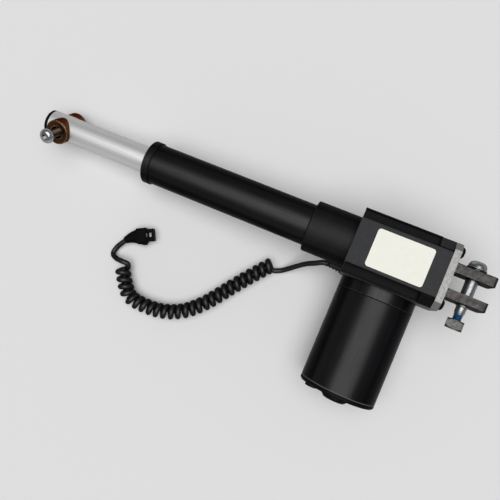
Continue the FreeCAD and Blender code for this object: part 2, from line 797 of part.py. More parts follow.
def motor_magnets():
    """Two curved magnets glued inside the can, clear of the through bolts."""
    outer = motor_bore / 2 - seat_gap
    arcs = []
    for middle in (through_bolt_angle_degrees + 90.0, through_bolt_angle_degrees + 270.0):
        start = can_front + magnet_start
        sector = Part.makeCylinder(outer, magnet_length, Vector(0, 0, 0), Z, magnet_span)
        sector = sector.cut(Part.makeCylinder(outer - magnet_thickness, magnet_length))
        sector.Placement = Placement(on_motor(start + magnet_length), Rotation(X, 90)).multiply(
            Placement(Vector(0, 0, 0), Rotation(Z, middle - magnet_span / 2)))
        arcs.append(sector)
    return Part.makeCompound(arcs)


def motor_shaft():
    """Motor shaft, whose front end is the worm; the worm's thread is left plain."""
    start = worm_blind_end + seat_gap - half_width
    end = can_rear + motor_bearing_width - slot_gap
    return rod_shape(motor_shaft_diameter, end - start, on_motor(start), Y)


def armature():
    """Laminated core with a winding head at each end."""
    core, head, bore = armature_diameter / 2, winding_diameter / 2, motor_shaft_diameter / 2 + seat_gap
    rear = armature_length + winding_length
    outline = [(-winding_length, bore), (-winding_length, head), (0, head), (0, core)]
    outline += [(armature_length, core), (armature_length, head), (rear, head), (rear, bore)]
    return turned(outline, on_motor(can_front + armature_start), Y)


def commutator_start():
    return can_front + armature_start + armature_length + winding_length


def commutator():
    return ring_shape(commutator_diameter, motor_shaft_diameter + 2 * seat_gap, commutator_length,
                      on_motor(commutator_start()), Y)


def brush_card():
    """Round card behind the commutator that carries the brushes."""
    start = can_rear - brush_card_from_end - brush_card_thickness
    card = ring_shape(motor_bore - 2 * seat_gap, commutator_diameter + 2 * brush_card_play,
                      brush_card_thickness, on_motor(start), Y)
    holes = [rod_shape(through_bolt_diameter + 2 * slot_gap, brush_card_thickness,
                       on_motor(start, through_bolt_circle / 2, turn), Y) for turn in through_bolt_turns()]
    return card.cut(holes)


def motor_brushes():
    """Two carbon brushes on the card, either side of the commutator."""
    rear = can_rear - brush_card_from_end - brush_card_thickness
    front = commutator_start() + brush_front_inset
    near = commutator_diameter / 2 + free_gap
    half = brush_size / 2
    blocks = []
    for side in (-1, 1):
        reach = sorted((side * near, side * (near + brush_length)))
        low = Vector(reach[0], front, -worm_offset - half)
        blocks.append(box(low, Vector(reach[1], rear, half - worm_offset)))
    return Part.makeCompound(blocks)


def motor_front_bearing():
    start = on_motor(can_front - motor_bearing_width)
    return ring_shape(motor_bearing_diameter - 2 * seat_gap, motor_shaft_diameter + 2 * running_gap,
                      motor_bearing_width, start, Y)


def motor_rear_bush():
    return ring_shape(worm_bore - 2 * seat_gap, motor_shaft_diameter + 2 * running_gap,
                      motor_bearing_width - slot_gap, on_motor(can_rear), Y)


def worm_end_bush():
    start = on_motor(worm_blind_end - half_width)
    bore = motor_shaft_diameter + 2 * running_gap
    return ring_shape(worm_bore - 2 * seat_gap, bore, worm_bush_length, start, Y)


def gland_place():
    return Vector(housing_front, half_width - gland_side_inset, -gland_drop)


def cable_gland():
    """Tapered strain relief with ribs, on the housing's front face beside the collar."""
    bore = cord_diameter / 2 + gland_play
    step = (gland_length - gland_flange_length) / (2 * gland_ribs)
    fall = (gland_root_diameter - gland_nose_diameter) / 2 / (gland_length - gland_flange_length)
    outline = [(0, bore), (0, gland_flange_diameter / 2), (gland_flange_length, gland_flange_diameter / 2)]
    for k in range(2 * gland_ribs):
        near, far = gland_flange_length + k * step, gland_flange_length + (k + 1) * step
        sunk = gland_rib_depth * (1 - k % 2)
        base = gland_root_diameter / 2 - sunk
        outline.append((near, base - fall * (near - gland_flange_length)))
        outline.append((far, base - fall * (far - gland_flange_length)))
    return turned(outline + [(gland_length, bore)], gland_place(), X)


def dip():
    """Angle, in degrees, by which the tube leans down to the saddle that it rests on."""
    turn = math.radians(eye_turn)
    centre_up = worm_offset - saddle_face * math.sin(turn)
    rim = saddle_diameter / 2 - saddle_edge
    low, high = 0.0, 30.0
    for _ in range(60):
        angle = math.radians((low + high) / 2)
        drop = rim * math.hypot(math.cos(turn) * math.cos(angle), math.sin(angle))
        height = motor_radius + centre_up * math.cos(angle) - eye_x * math.sin(angle) - drop
        if height > 0:
            low = (low + high) / 2
        else:
            high = (low + high) / 2
    return (low + high) / 2


def laid_down():
    """Placement that lays the machine on the surface, turned about the motor's axis."""
    turn = Placement(Vector(0, 0, motor_radius), Rotation(Y, dip()))
    return turn.multiply(Placement(Vector(0, 0, worm_offset), Rotation()))


def bend_radius(before, corner, after):
    """Largest tangent arc at a route's corner: 0.45 of the shorter run over the tangent of half the turn."""
    first, second = corner.sub(before), after.sub(corner)
    turn = first.getAngle(second)
    return 0.45 * min(first.Length, second.Length) / math.tan(turn / 2), turn


def cord_wire(name, route):
    """Path of straight runs joined by tangent arcs along a cord's route."""
    points = [Vector(*p) for p in route]
    edges = []
    start = points[0]
    for before, corner, after in zip(points, points[1:], points[2:]):
        radius, turn = bend_radius(before, corner, after)
        back = before.sub(corner).normalize()
        onward = after.sub(corner).normalize()
        tangent = radius * math.tan(turn / 2)
        enter, leave = corner.add(back * tangent), corner.add(onward * tangent)
        inward = back.add(onward).normalize()
        middle = corner.add(inward * (radius / math.cos(turn / 2) - radius))
        edges.append(Part.LineSegment(start, enter).toShape())
        edges.append(Part.Arc(enter, middle, leave).toShape())
        print("%s corner turns %.0f degrees on radius %.1f" % (name, math.degrees(turn), radius))
        start = leave
    edges.append(Part.LineSegment(start, points[-1]).toShape())
    return Part.Wire(edges)


def cord_tube(name, route, diameter):
    """Tube along a route; its volume is compared with its section times its length."""
    path = cord_wire(name, route)
    first = Vector(*route[1]).sub(Vector(*route[0]))
    section = Part.Wire(Part.makeCircle(diameter / 2, Vector(*route[0]), first))
    tube = path.makePipeShell([section], True, False)
    expected = math.pi * diameter ** 2 / 4 * path.Length
    print("%s length %.1f, volume %.4f of section times length" % (name, path.Length, tube.Volume / expected))
    return tube


def lead_points():
    """The lead's whole route: out along the gland's axis, then down to the surface."""
    nose = gland_place().add(X * gland_length)
    straight = [nose.sub(X * gland_grip), nose.add(X * gland_lead_out)]
    return [tuple(laid_down().multVec(point)) for point in straight] + lead_route


def tail_frame():
    """Placement at the cord's far end: its X runs on along the last run of the cord."""
    before, end = Vector(*tail_route[-2]), Vector(*tail_route[-1])
    return Placement(end, Rotation(X, end.sub(before)))


def boot_place(share):
    """Placement at a share of the boot's bent axis, from its nose on the cord."""
    bend = math.radians(boot_bend_degrees)
    radius = boot_length / bend
    angle = bend * share
    place = Vector(radius * math.sin(angle), radius * (1 - math.cos(angle)), 0)
    return Placement(place, Rotation(Z, math.degrees(angle)))


def plug_boot():
    """Bent boot between the cord's tail and the plug, lofted from a nearly round nose to a wide oval root."""
    rings = []
    for k in range(boot_sections + 1):
        share = k / boot_sections
        grown = share ** boot_flare
        width = boot_nose_width + (boot_root_width - boot_nose_width) * grown
        height = boot_nose_height + (boot_root_height - boot_nose_height) * grown
        oval = Part.Ellipse(Y * (width / 2), Z * (height / 2), Vector(0, 0, 0))
        ring = Part.Wire(oval.toShape())
        ring.Placement = boot_place(share)
        rings.append(ring)
    return Part.makeLoft(rings, True)


def plug_floor():
    """Height of the plug's underside in its own frame."""
    return plug_floor_gap - tail_route[-1][2]


def plug_window_places():
    """Places of the two contact windows along the plug's upper face."""
    first = plug_length - plug_window_from_mouth - plug_window_along / 2
    return [first, first - plug_window_pitch]


def eased_block(low, high, edge):
    """Block with its four long edges rounded."""
    block = box(low, high)
    return block.makeFillet(edge, [e for e in block.Edges if abs(e.tangentAt(e.FirstParameter).x) > 0.9])


def plug_body():
    """Moulded connector: a rounded shell and a narrower nose with two contact windows in its upper face."""
    low, side = plug_floor(), plug_width / 2
    shell = eased_block(Vector(0, -side, low), Vector(plug_shell_length, side, low + plug_height), plug_edge)
    top = low + plug_height - nose_inset
    narrow = side - nose_inset
    nose_low = Vector(plug_shell_length, -narrow, low + nose_inset)
    nose = eased_block(nose_low, Vector(plug_length, narrow, top), nose_edge)
    along, across = plug_window_along / 2, plug_window_across / 2
    floor = top - plug_window_depth
    windows = [box(Vector(x - along, -across, floor), Vector(x + along, across, top))
               for x in plug_window_places()]
    return shell.fuse(nose).removeSplitter().cut(windows)


def plug_terminals():
    """Two contacts, each on the floor of its window."""
    along, across = plug_window_along / 2 - slot_gap, plug_window_across / 2 - slot_gap
    floor = plug_floor() + plug_height - nose_inset - plug_window_depth
    top = floor + terminal_thickness
    return Part.makeCompound([box(Vector(x - along, -across, floor), Vector(x + along, across, top))
                              for x in plug_window_places()])


def plug_latch():
    """Wedge-shaped latch along the plug's shell, on the side away from the tube."""
    side = plug_width / 2
    ramp = latch_ramp_share * latch_length
    outline = [(0, 0), (latch_length, 0), (latch_length, latch_height), (ramp, latch_height)]
    low = plug_floor() + (plug_height - latch_width) / 2
    start = Vector((plug_shell_length - latch_length) / 2, -side, low)
    return prism(outline, latch_width, start, Z, X, Y * -1)


machine_pieces = {
    "gearbox_housing": gearbox_housing(),
    "rear_plate": rear_plate(),
    "rear_plate_screws": rear_plate_screws(),
    "rear_clevis": rear_clevis(),
    "rear_bolt": rear_bolt(),
    "rear_nut": rear_nut(),
    "front_collar": front_collar(),
    "outer_tube": outer_tube(),
    "front_cap": front_cap(),
    "rod_wiper": rod_wiper(),
    "guide_bush": guide_bush(),
    "limit_switch_board": limit_switch_board(),
    "limit_switches": limit_switches(),
    "inner_tube": inner_tube(),
    "upper_saddle": saddle(1),
    "lower_saddle": saddle(-1),
    "cross_bush": cross_bush(),
    "front_screw": front_screw(),
    "rod_end_plug": rod_end_plug(),
    "drive_nut": drive_nut(),
    "lead_screw": lead_screw(),
    "screw_tip_guide": screw_tip_guide(),
    "worm_wheel": worm_wheel(),
    "front_screw_bearing": screw_bearing(1),
    "rear_screw_bearing": screw_bearing(-1),
    "screw_lock_nut": screw_lock_nut(),
    "motor_adaptor": motor_adaptor(),
    "adaptor_screws": adaptor_screws(),
    "motor_can": motor_can(),
    "motor_end_cap": motor_end_cap(),
    "motor_through_bolts": motor_through_bolts(),
    "motor_magnets": motor_magnets(),
    "motor_shaft": motor_shaft(),
    "armature": armature(),
    "commutator": commutator(),
    "brush_card": brush_card(),
    "motor_brushes": motor_brushes(),
    "motor_front_bearing": motor_front_bearing(),
    "motor_rear_bush": motor_rear_bush(),
    "worm_end_bush": worm_end_bush(),
    "cable_gland": cable_gland(),
}
cord_pieces = {
    "cord_lead": cord_tube("lead", lead_points(), cord_diameter),
    "cord_curl": cord_tube("curl", curl_route, curl_diameter),
    "cord_tail": cord_tube("tail", tail_route, cord_diameter),
}
plug_pieces = {
    "plug_body": plug_body(),
    "plug_terminals": plug_terminals(),
    "plug_latch": plug_latch(),
}


def placed(shape, placement):
    """Copy of a piece, moved by a placement."""
    copy = shape.copy()
    copy.Placement = placement.multiply(copy.Placement)
    return copy


lay = laid_down()
pieces = {name: placed(shape, lay) for name, shape in machine_pieces.items()}
extent = Part.makeCompound(list(pieces.values())).optimalBoundingBox()
origin_shift = Vector(-(extent.XMin + extent.XMax) / 2, -(extent.YMin + extent.YMax) / 2, 0)
pieces.update(cord_pieces)
pieces["plug_boot"] = placed(plug_boot(), tail_frame())
plug_frame = tail_frame().multiply(boot_place(1.0))
pieces.update({name: placed(shape, plug_frame) for name, shape in plug_pieces.items()})

os.makedirs("parts", exist_ok=True)
for name, shape in pieces.items():
    finished = placed(shape, Placement(origin_shift, Rotation()))
    finished.exportStep(os.path.join("parts", name + ".step"))
    state = (name, len(finished.Solids), finished.isValid(), finished.Volume)
    print("%-22s solids %d valid %s volume %.1f" % state)


def print_place(label, point, way):
    """Prints a point and a direction of the finished part."""
    print("place %s %.4f %.4f %.4f axis %.7f %.7f %.7f" % (label, *point, *way))


def print_machine_place(label, point, direction=X):
    """Prints a machine point and direction in the finished part's frame."""
    print_place(label, lay.multVec(point).add(origin_shift), lay.Rotation.multVec(direction))


print("dip %.4f degrees, lowest %.4f" % (dip(), extent.ZMin))
print_place("bench_origin", origin_shift, X)
print_machine_place("tube_axis", Vector(0, 0, 0))
print_machine_place("rod_slide", Vector(cap_front, 0, 0))
print_machine_place("motor_axis", motor_centre, Y)
print_machine_place("rear_bolt", Vector(rear_bolt_x, 0, 0), Y)
print_machine_place("front_eye", eye_centre, eye_axis)
print_machine_place("lower_saddle_face", eye_point(-saddle_face), eye_axis * -1)
print_machine_place("gland_nose", gland_place().add(X * gland_length))
plug_mouth = plug_frame.multVec(X * plug_length).add(origin_shift)
print_place("plug", plug_mouth, plug_frame.Rotation.multVec(X))
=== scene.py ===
# %% [markdown]
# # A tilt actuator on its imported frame
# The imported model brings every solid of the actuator, already in place and in metres. This lesson adds what
# the solids leave out: finishes, screw threads, the bare label, and a curly cord that really curls. The frame
# is loaded first, because everything after it takes its places from there.

import json
import math

import bpy
from mathutils import Matrix, Vector


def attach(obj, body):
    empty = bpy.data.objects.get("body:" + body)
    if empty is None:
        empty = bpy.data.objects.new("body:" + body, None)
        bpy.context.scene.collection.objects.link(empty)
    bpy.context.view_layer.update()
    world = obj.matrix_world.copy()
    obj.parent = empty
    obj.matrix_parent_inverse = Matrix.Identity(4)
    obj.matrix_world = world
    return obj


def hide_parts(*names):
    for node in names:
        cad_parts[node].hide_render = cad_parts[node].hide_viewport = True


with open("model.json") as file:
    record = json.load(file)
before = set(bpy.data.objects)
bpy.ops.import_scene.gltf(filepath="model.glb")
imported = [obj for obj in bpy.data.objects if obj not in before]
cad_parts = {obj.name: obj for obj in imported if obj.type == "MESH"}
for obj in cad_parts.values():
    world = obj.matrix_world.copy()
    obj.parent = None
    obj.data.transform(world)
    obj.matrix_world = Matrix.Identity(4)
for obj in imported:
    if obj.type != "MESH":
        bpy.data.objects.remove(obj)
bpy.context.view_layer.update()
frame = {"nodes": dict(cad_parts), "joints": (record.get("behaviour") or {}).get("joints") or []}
nodes = frame["nodes"]
joints = {joint["name"]: joint for joint in frame["joints"]}

# %% [markdown]
# ## Where things are
# The actuator lies on its motor and on the lower saddle of its eye, so the tube leans a little. Three joints
# say exactly how: the rod slides along the tube's axis, the screw turns where that axis passes over the
# motor's, and the rotor turns about the motor's axis. From those come two ways to name a place: along the
# machine itself, and on the surface that it lies on.

# %% The machine's own directions
MM = 0.001
along = Vector(joints["rod_slide"]["axis"]).normalized()
across = Vector((0.0, 1.0, 0.0))
up = along.cross(across)
crossing = Vector(joints["screw_turn"]["pos_m"])
motor_spot = Vector(joints["rotor_turn"]["pos_m"])
bench = Vector((motor_spot.x, motor_spot.y, 0.0))


def on_machine(x, y, z):
    """Place in millimetres along the tube, across to the motor and up from the tube's axis."""
    return crossing + (along * x + across * y + up * z) * MM


def on_bench(x, y, z):
    """Place in millimetres from the spot on the surface that is straight below the rotor's joint."""
    return bench + Vector((x, y, z)) * MM


print("the tube leans down by %.2f degrees" % math.degrees(math.asin(-along.z)))

# %% [markdown]
# ## The camera
# The photograph looks almost straight down, from a little over half a metre. Its place and its turn were
# worked out from the surface's regular pattern and the machine's straight edges. A camera that isn't turned
# looks straight down with +Y up in the picture. So it is tilted by a few degrees about X and about Y, and
# then turned about Z until the picture stands as the photograph does.

# %% Set the camera
picture_width = 500
focal_pixels = 560.0
sensor_width = 36.0
camera_spot = on_bench(80.38, 56.07, 551.66)
tilt_about_x, tilt_about_y, turn_about_z = 3.303, 3.618, -157.060

scene = bpy.context.scene
camera_data = bpy.data.cameras.new("camera")
camera_data.sensor_width = sensor_width
camera_data.lens = sensor_width * focal_pixels / picture_width
camera = bpy.data.objects.new("camera", camera_data)
scene.collection.objects.link(camera)
camera.location = camera_spot
camera.rotation_euler = [math.radians(angle) for angle in (tilt_about_x, tilt_about_y, turn_about_z)]
scene.camera = camera
print("camera lens %.2f mm" % camera_data.lens)

# %% [markdown]
# ## The curly cord
# The cord leaves the gland, drops to the surface, curls along it and straightens again before its plug. Its
# route is a few points, and a NURBS spline that follows them gives one smooth centre line. The curl could be
# a Screw modifier, but that only follows a straight axis. So a loop walks along the centre line and winds
# round it, and each step is one more point of the cord's own spline.

# %% The cord's route
cord_diameter = 5.0 * MM
curl_height = 8.0
line_smoothness = 8

lead_route = [
    on_machine(45.0, 24.5, -17.0),
    on_machine(54.5, 24.5, -17.0),
    on_bench(61.0, 28.6, 27.5),
    on_bench(69.5, 32.2, 18.5),
    on_bench(78.5, 39.2, 9.5),
    on_bench(87.0, 46.2, 3.4),
    on_bench(92.6, 49.2, 2.6),
    on_bench(97.4, 50.6, 2.6),
    on_bench(100.8, 46.4, 2.7),
]
curl_route = [
    on_bench(97.0, 42.9, curl_height),
    on_bench(118.9, 69.2, curl_height),
    on_bench(149.0, 112.8, curl_height),
    on_bench(175.4, 129.3, curl_height),
    on_bench(205.9, 131.4, curl_height),
    on_bench(221.8, 126.5, curl_height),
    on_bench(235.2, 102.2, curl_height),
]
tail_route = [
    on_bench(229.4, 99.2, 10.4),
    on_bench(236.0, 99.4, 11.2),
    on_bench(243.5, 99.6, 7.4),
    on_bench(250.0, 97.2, 3.6),
    on_bench(249.4, 90.5, 2.8),
    on_bench(245.4, 83.6, 4.9),
    on_bench(242.4, 79.6, 6.0),
]


def spline_object(name, points, radius, smoothness):
    """Curve of one open NURBS spline with the given control points, each with the same radius."""
    data = bpy.data.curves.new(name, "CURVE")
    data.dimensions = "3D"
    data.resolution_u = smoothness
    spline = data.splines.new("NURBS")
    spline.points.add(len(points) - 1)
    for point, place in zip(spline.points, points):
        point.co = (*place, 1.0)
        point.radius = radius
    spline.order_u = 3
    spline.use_endpoint_u = True
    curve = bpy.data.objects.new(name, data)
    scene.collection.objects.link(curve)
    return curve


def line_points(curve):
    """Points along a curve that has no bevel, in order."""
    bpy.context.view_layer.update()
    mesh = bpy.data.meshes.new_from_object(curve)
    points = [vertex.co.copy() for vertex in mesh.vertices]
    bpy.data.meshes.remove(mesh)
    return points


centre = spline_object("curl_centre_line", curl_route, cord_diameter / 2, line_smoothness)
centre_line = line_points(centre)
bpy.data.objects.remove(centre)
distances = [0.0]
for before, after in zip(centre_line, centre_line[1:]):
    distances.append(distances[-1] + (after - before).length)
print("curl's centre line: %d points, %.1f mm" % (len(centre_line), distances[-1] / MM))

# %% [markdown]
# The curl is left-handed: seen along it, the cord climbs on the right, crosses over the top to the left and
# comes back underneath. The lead runs in along the surface and under the first turn, so the curl starts on
# the right-hand side, half a turn from the left, where its angle is 0. It ends on the right too, where the
# tail leaves over the top. The turns lie almost against each other, and a small wander keeps them from
# looking machined.

# %% Wind the curl
curl_radius = 5.15 * MM
curl_pitch = 7.02 * MM
curl_turns = 26
curl_begins = 4.9 * MM
steps_per_turn = 16
wander_reach = 0.2 * MM
wander_rate = 2.3
from_left_to_right = 0.5


def on_centre(distance):
    """Place and direction at a distance along the curl's centre line."""
    k = 0
    while k < len(centre_line) - 2 and distances[k + 1] < distance:
        k += 1
    run = centre_line[k + 1] - centre_line[k]
    share = (distance - distances[k]) / run.length
    return centre_line[k] + run * share, run.normalized()


curl_points = []
for step in range(curl_turns * steps_per_turn + 1):
    turn_count = step / steps_per_turn
    wander = wander_reach * math.sin(wander_rate * turn_count)
    place, way = on_centre(curl_begins + curl_pitch * turn_count + wander)
    left = Vector((0.0, 0.0, 1.0)).cross(way).normalized()
    top = way.cross(left)
    angle = -2 * math.pi * (turn_count + from_left_to_right)
    curl_points.append(place + (left * math.cos(angle) + top * math.sin(angle)) * curl_radius)
print("curl: %d turns, %d points" % (curl_turns, len(curl_points)))

# %% [markdown]
# A curve's thickness is its bevel depth times the radius of its points. Blender also adds that radius to the
# curve's box, so the depth here is 1 and each point's radius is the cord's own, which keeps the box true. In
# the photograph the curl's strands look a little thicker than the straight stretches, so their points get a
# larger radius.

strand_radius = 2.7 * MM
cord_smoothness = 6
cord_roundness = 4

cord_points = lead_route + curl_points + tail_route
cord = spline_object("cord", cord_points, cord_diameter / 2, cord_smoothness)
curl_start = len(lead_route)
for point in cord.data.splines[0].points[curl_start:curl_start + len(curl_points)]:
    point.radius = strand_radius
cord.data.bevel_depth = 1.0
cord.data.bevel_resolution = cord_roundness
cord.data.use_fill_caps = True
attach(cord, "actuator_body")
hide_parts("cord_lead", "cord_curl", "cord_tail")

# %% [markdown]
# ## Turned screws
# A screw is a lathe's work, so it is made the way a lathe makes it: half of its outline is drawn as a line of
# vertices, and Spin turns that line round the axis. Adding cylinders and joining them would also do, but then
# each step of the outline is a separate shape with a seam. The outline starts as a plane whose corners are
# merged into one vertex, and that vertex is extruded from point to point.

# %% Turn an outline on the lathe
lathe_sides = 72
weld_distance = 0.001 * MM


def turned_piece(name, outline):
    """Closed turned piece about Z from pairs of radius and height in millimetres."""
    bpy.ops.object.select_all(action="DESELECT")
    bpy.ops.mesh.primitive_plane_add(size=MM, location=(0.0, 0.0, 0.0))
    piece = bpy.context.object
    piece.name = name
    bpy.ops.object.mode_set(mode="EDIT")
    bpy.ops.mesh.select_mode(type="VERT")
    bpy.ops.mesh.select_all(action="SELECT")
    bpy.ops.mesh.merge(type="CENTER")
    reached = Vector((0.0, 0.0, 0.0))
    for step, (radius, height) in enumerate(outline):
        there = Vector((radius, 0.0, height)) * MM
        if step == 0:
            bpy.ops.transform.translate(value=there - reached)
        else:
            bpy.ops.mesh.extrude_vertices_move(TRANSFORM_OT_translate={"value": there - reached})
        reached = there
    bpy.ops.mesh.select_all(action="SELECT")
    bpy.ops.mesh.spin(steps=lathe_sides, angle=2 * math.pi, center=(0.0, 0.0, 0.0), axis=(0.0, 0.0, 1.0))
    bpy.ops.mesh.select_all(action="SELECT")
    bpy.ops.mesh.remove_doubles(threshold=weld_distance)
    bpy.ops.mesh.normals_make_consistent(inside=False)
    bpy.ops.object.mode_set(mode="OBJECT")
    return piece


# %% [markdown]
# ## Threads and sockets
# A thread is a groove that climbs by one pitch in each turn. A Screw modifier winds a groove's outline into a
# long ribbon, but the ribbon is open at both ends and has to be joined to the shank. Here the shank already
# has rings a fraction of a pitch apart, so the thread is pressed into it: each vertex goes in by a depth that
# depends on its height and on its angle. The skin stays closed.

# %% Press a thread
rings_per_pitch = 8
thread_depth_share = 0.55
flank_slope = 2.8
crest_share = 0.3
shank_tolerance = 0.01


def eased(share):
    """Smooth rise from 0 to 1."""
    share = min(max(share, 0.0), 1.0)
    return share * share * (3.0 - 2.0 * share)


def shank_rings(radius, low, high, pitch):
    """Outline points of a shank from low to high, close enough together for a thread of this pitch."""
    count = round((high - low) / pitch * rings_per_pitch)
    return [(radius, low + (high - low) * k / count) for k in range(count + 1)]


def press_thread(piece, low, high, radius, pitch):
    """Presses a right-hand thread into the shank between two heights, all in millimetres."""
    depth = thread_depth_share * pitch
    for vertex in piece.data.vertices:
        x, y, z = vertex.co / MM
        reach = math.hypot(x, y)
        if low <= z <= high and abs(reach - radius) < shank_tolerance:
            phase = (z / pitch - math.atan2(y, x) / (2 * math.pi)) % 1.0
            flank = min(max(abs(phase - 0.5) * flank_slope - crest_share, 0.0), 1.0)
            fade = eased((z - low) / pitch) * eased((high - z) / pitch)
            shrink = (reach - depth * flank * fade) / reach
            vertex.co.x *= shrink
            vertex.co.y *= shrink


# %% [markdown]
# The hexagon socket is a Boolean cut with a six-sided prism, which sits half in and half out of the head. The
# cut leaves a few vertices on top of each other, so they are merged. When a piece has its shape it is turned
# from Z to its own axis, and its place is applied to its mesh.

# %% Cut a socket and seat a piece
smooth_angle = math.radians(35.0)


def cut_socket(piece, across_flats, top, depth):
    """Cuts a hexagon socket down from the top of a screw's head, in millimetres."""
    corner_radius = across_flats / math.sqrt(3) * MM
    bpy.ops.object.select_all(action="DESELECT")
    bpy.ops.mesh.primitive_cylinder_add(vertices=6, radius=corner_radius, depth=2 * depth * MM,
                                        location=(0.0, 0.0, top * MM))
    cutter = bpy.context.object
    socket = piece.modifiers.new("socket", "BOOLEAN")
    socket.operation = "DIFFERENCE"
    socket.object = cutter
    bpy.context.view_layer.objects.active = piece
    bpy.ops.object.modifier_apply(modifier=socket.name)
    bpy.data.objects.remove(cutter)
    piece.select_set(True)
    bpy.ops.object.mode_set(mode="EDIT")
    bpy.ops.mesh.select_all(action="SELECT")
    bpy.ops.mesh.remove_doubles(threshold=weld_distance)
    bpy.ops.object.mode_set(mode="OBJECT")


def seat_piece(piece, spot, axis):
    """Turns a piece from Z to an axis, moves it to its spot and applies both to its mesh."""
    piece.matrix_world = Matrix.Translation(spot) @ axis.to_track_quat("Z", "Y").to_matrix().to_4x4()
    bpy.ops.object.select_all(action="DESELECT")
    piece.select_set(True)
    bpy.context.view_layer.objects.active = piece
    bpy.ops.object.transform_apply(location=True, rotation=True, scale=True)
    bpy.ops.object.shade_smooth_by_angle(angle=smooth_angle)
    print("%s: %d faces" % (piece.name, len(piece.data.polygons)))


# %% [markdown]
# ## The front screw
# This M8 screw holds the rod's eye to the moved frame. It is driven only part of the way in, so its thread
# shows between the head and the saddle. Its head is a low dome, whose outline is a quarter of an ellipse from
# the rim up to the flat round the socket.

# %% Make the front screw
dome_steps = 8
eye_spot = on_machine(336.4, 0.0, 0.0)
eye_angle = math.radians(57.5)
eye_axis = across * math.cos(eye_angle) + up * math.sin(eye_angle)
screw_radius, screw_length, screw_pitch, screw_stand = 4.0, 45.0, 1.25, 30.3
screw_low, screw_high = 0.8 - screw_length, -0.1
screw_tip_radius = 3.1
screw_seat_radius = 6.75
screw_head_radius, screw_head_edge, screw_head_rim = 7.0, 0.2, 0.4
screw_crown_radius, screw_crown = 3.2, 4.4
screw_socket, screw_socket_depth = 5.0, 2.6


def dome_outline(rim, crown, low, high):
    """Outline points of a domed head from its rim up to its crown and in to the axis, in millimetres."""
    turns = [math.radians(90.0 * k / dome_steps) for k in range(dome_steps + 1)]
    points = [(crown + (rim - crown) * math.cos(turn), low + (high - low) * math.sin(turn))
              for turn in turns]
    return points + [(0.0, high)]


screw_outline = [(0.0, -screw_length), (screw_tip_radius, -screw_length)]
screw_outline += shank_rings(screw_radius, screw_low, screw_high, screw_pitch)
screw_outline += [(screw_radius, 0.0), (screw_seat_radius, 0.0), (screw_head_radius, screw_head_edge)]
screw_outline += dome_outline(screw_head_radius, screw_crown_radius, screw_head_rim, screw_crown)
front_screw = turned_piece("front_screw_domed", screw_outline)
press_thread(front_screw, screw_low, screw_high, screw_radius, screw_pitch)
cut_socket(front_screw, screw_socket, screw_crown, screw_socket_depth)
seat_piece(front_screw, eye_spot + eye_axis * screw_stand * MM, eye_axis)
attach(front_screw, "rod")
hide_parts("front_screw")

# %% [markdown]
# ## The rear bolt
# The bolt through the clevis is a shoulder bolt. It has a domed head on a thin flange, a smooth shoulder that
# bears in the ears, a thinner neck just past them, and a threaded end with the nut, where a band of blue
# thread lock shows. The same lathe makes it.

# %% Make the rear bolt
bolt_x, bolt_seat, bolt_length = -68.5, -17.45, 55.0
thread_radius, thread_pitch = 4.0, 1.25
thread_low, thread_high = 0.8 - bolt_length, -41.2
bolt_tip_radius = 3.2
thread_runout, neck_start, neck_low, neck_high = -40.7, -40.4, -40.1, -34.7
neck_radius, neck_edge = 4.5, 0.2
shoulder_radius, shoulder_edge, shoulder_ring = 5.4, 0.4, -18.0
flange_radius, flange_edge, flange_height = 8.6, 0.3, 1.2
bolt_head_radius, bolt_head_rim = 8.0, 1.3
bolt_crown_radius, bolt_crown = 3.8, 7.0
bolt_socket, bolt_socket_depth = 6.0, 3.2

bolt_outline = [(0.0, -bolt_length), (bolt_tip_radius, -bolt_length)]
bolt_outline += shank_rings(thread_radius, thread_low, thread_high, thread_pitch)
bolt_outline += [(thread_radius, thread_runout), (neck_radius - neck_edge, neck_start)]
bolt_outline += [(neck_radius, neck_low), (neck_radius, neck_high)]
bolt_outline += [(shoulder_radius - shoulder_edge, neck_high), (shoulder_radius, neck_high + shoulder_edge)]
bolt_outline += [(shoulder_radius, shoulder_ring), (shoulder_radius, 0.0)]
bolt_outline += [(flange_radius - flange_edge, 0.0), (flange_radius, flange_edge)]
bolt_outline += [(flange_radius, flange_height - flange_edge), (flange_radius - flange_edge, flange_height)]
bolt_outline += dome_outline(bolt_head_radius, bolt_crown_radius, bolt_head_rim, bolt_crown)
rear_bolt = turned_piece("rear_bolt_domed", bolt_outline)
press_thread(rear_bolt, thread_low, thread_high, thread_radius, thread_pitch)
cut_socket(rear_bolt, bolt_socket, bolt_crown, bolt_socket_depth)
seat_piece(rear_bolt, on_machine(bolt_x, bolt_seat, 0.0), -across)
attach(rear_bolt, "rear_bolt")
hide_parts("rear_bolt")

# %% [markdown]
# ## The bare label
# A printed label is stuck on the housing's upper face. Its place is kept and its print is left off. A label
# is a sheet with round corners, so a plane is scaled to its size, its four corner vertices are bevelled, and
# Solidify gives it the thickness of the stock.

# %% Make the label
label_middle = on_machine(-3.45, 0.45, 30.0)
label_length, label_width = 49.5, 33.5
label_corner, label_corner_steps = 2.5, 6
label_thickness = 0.15

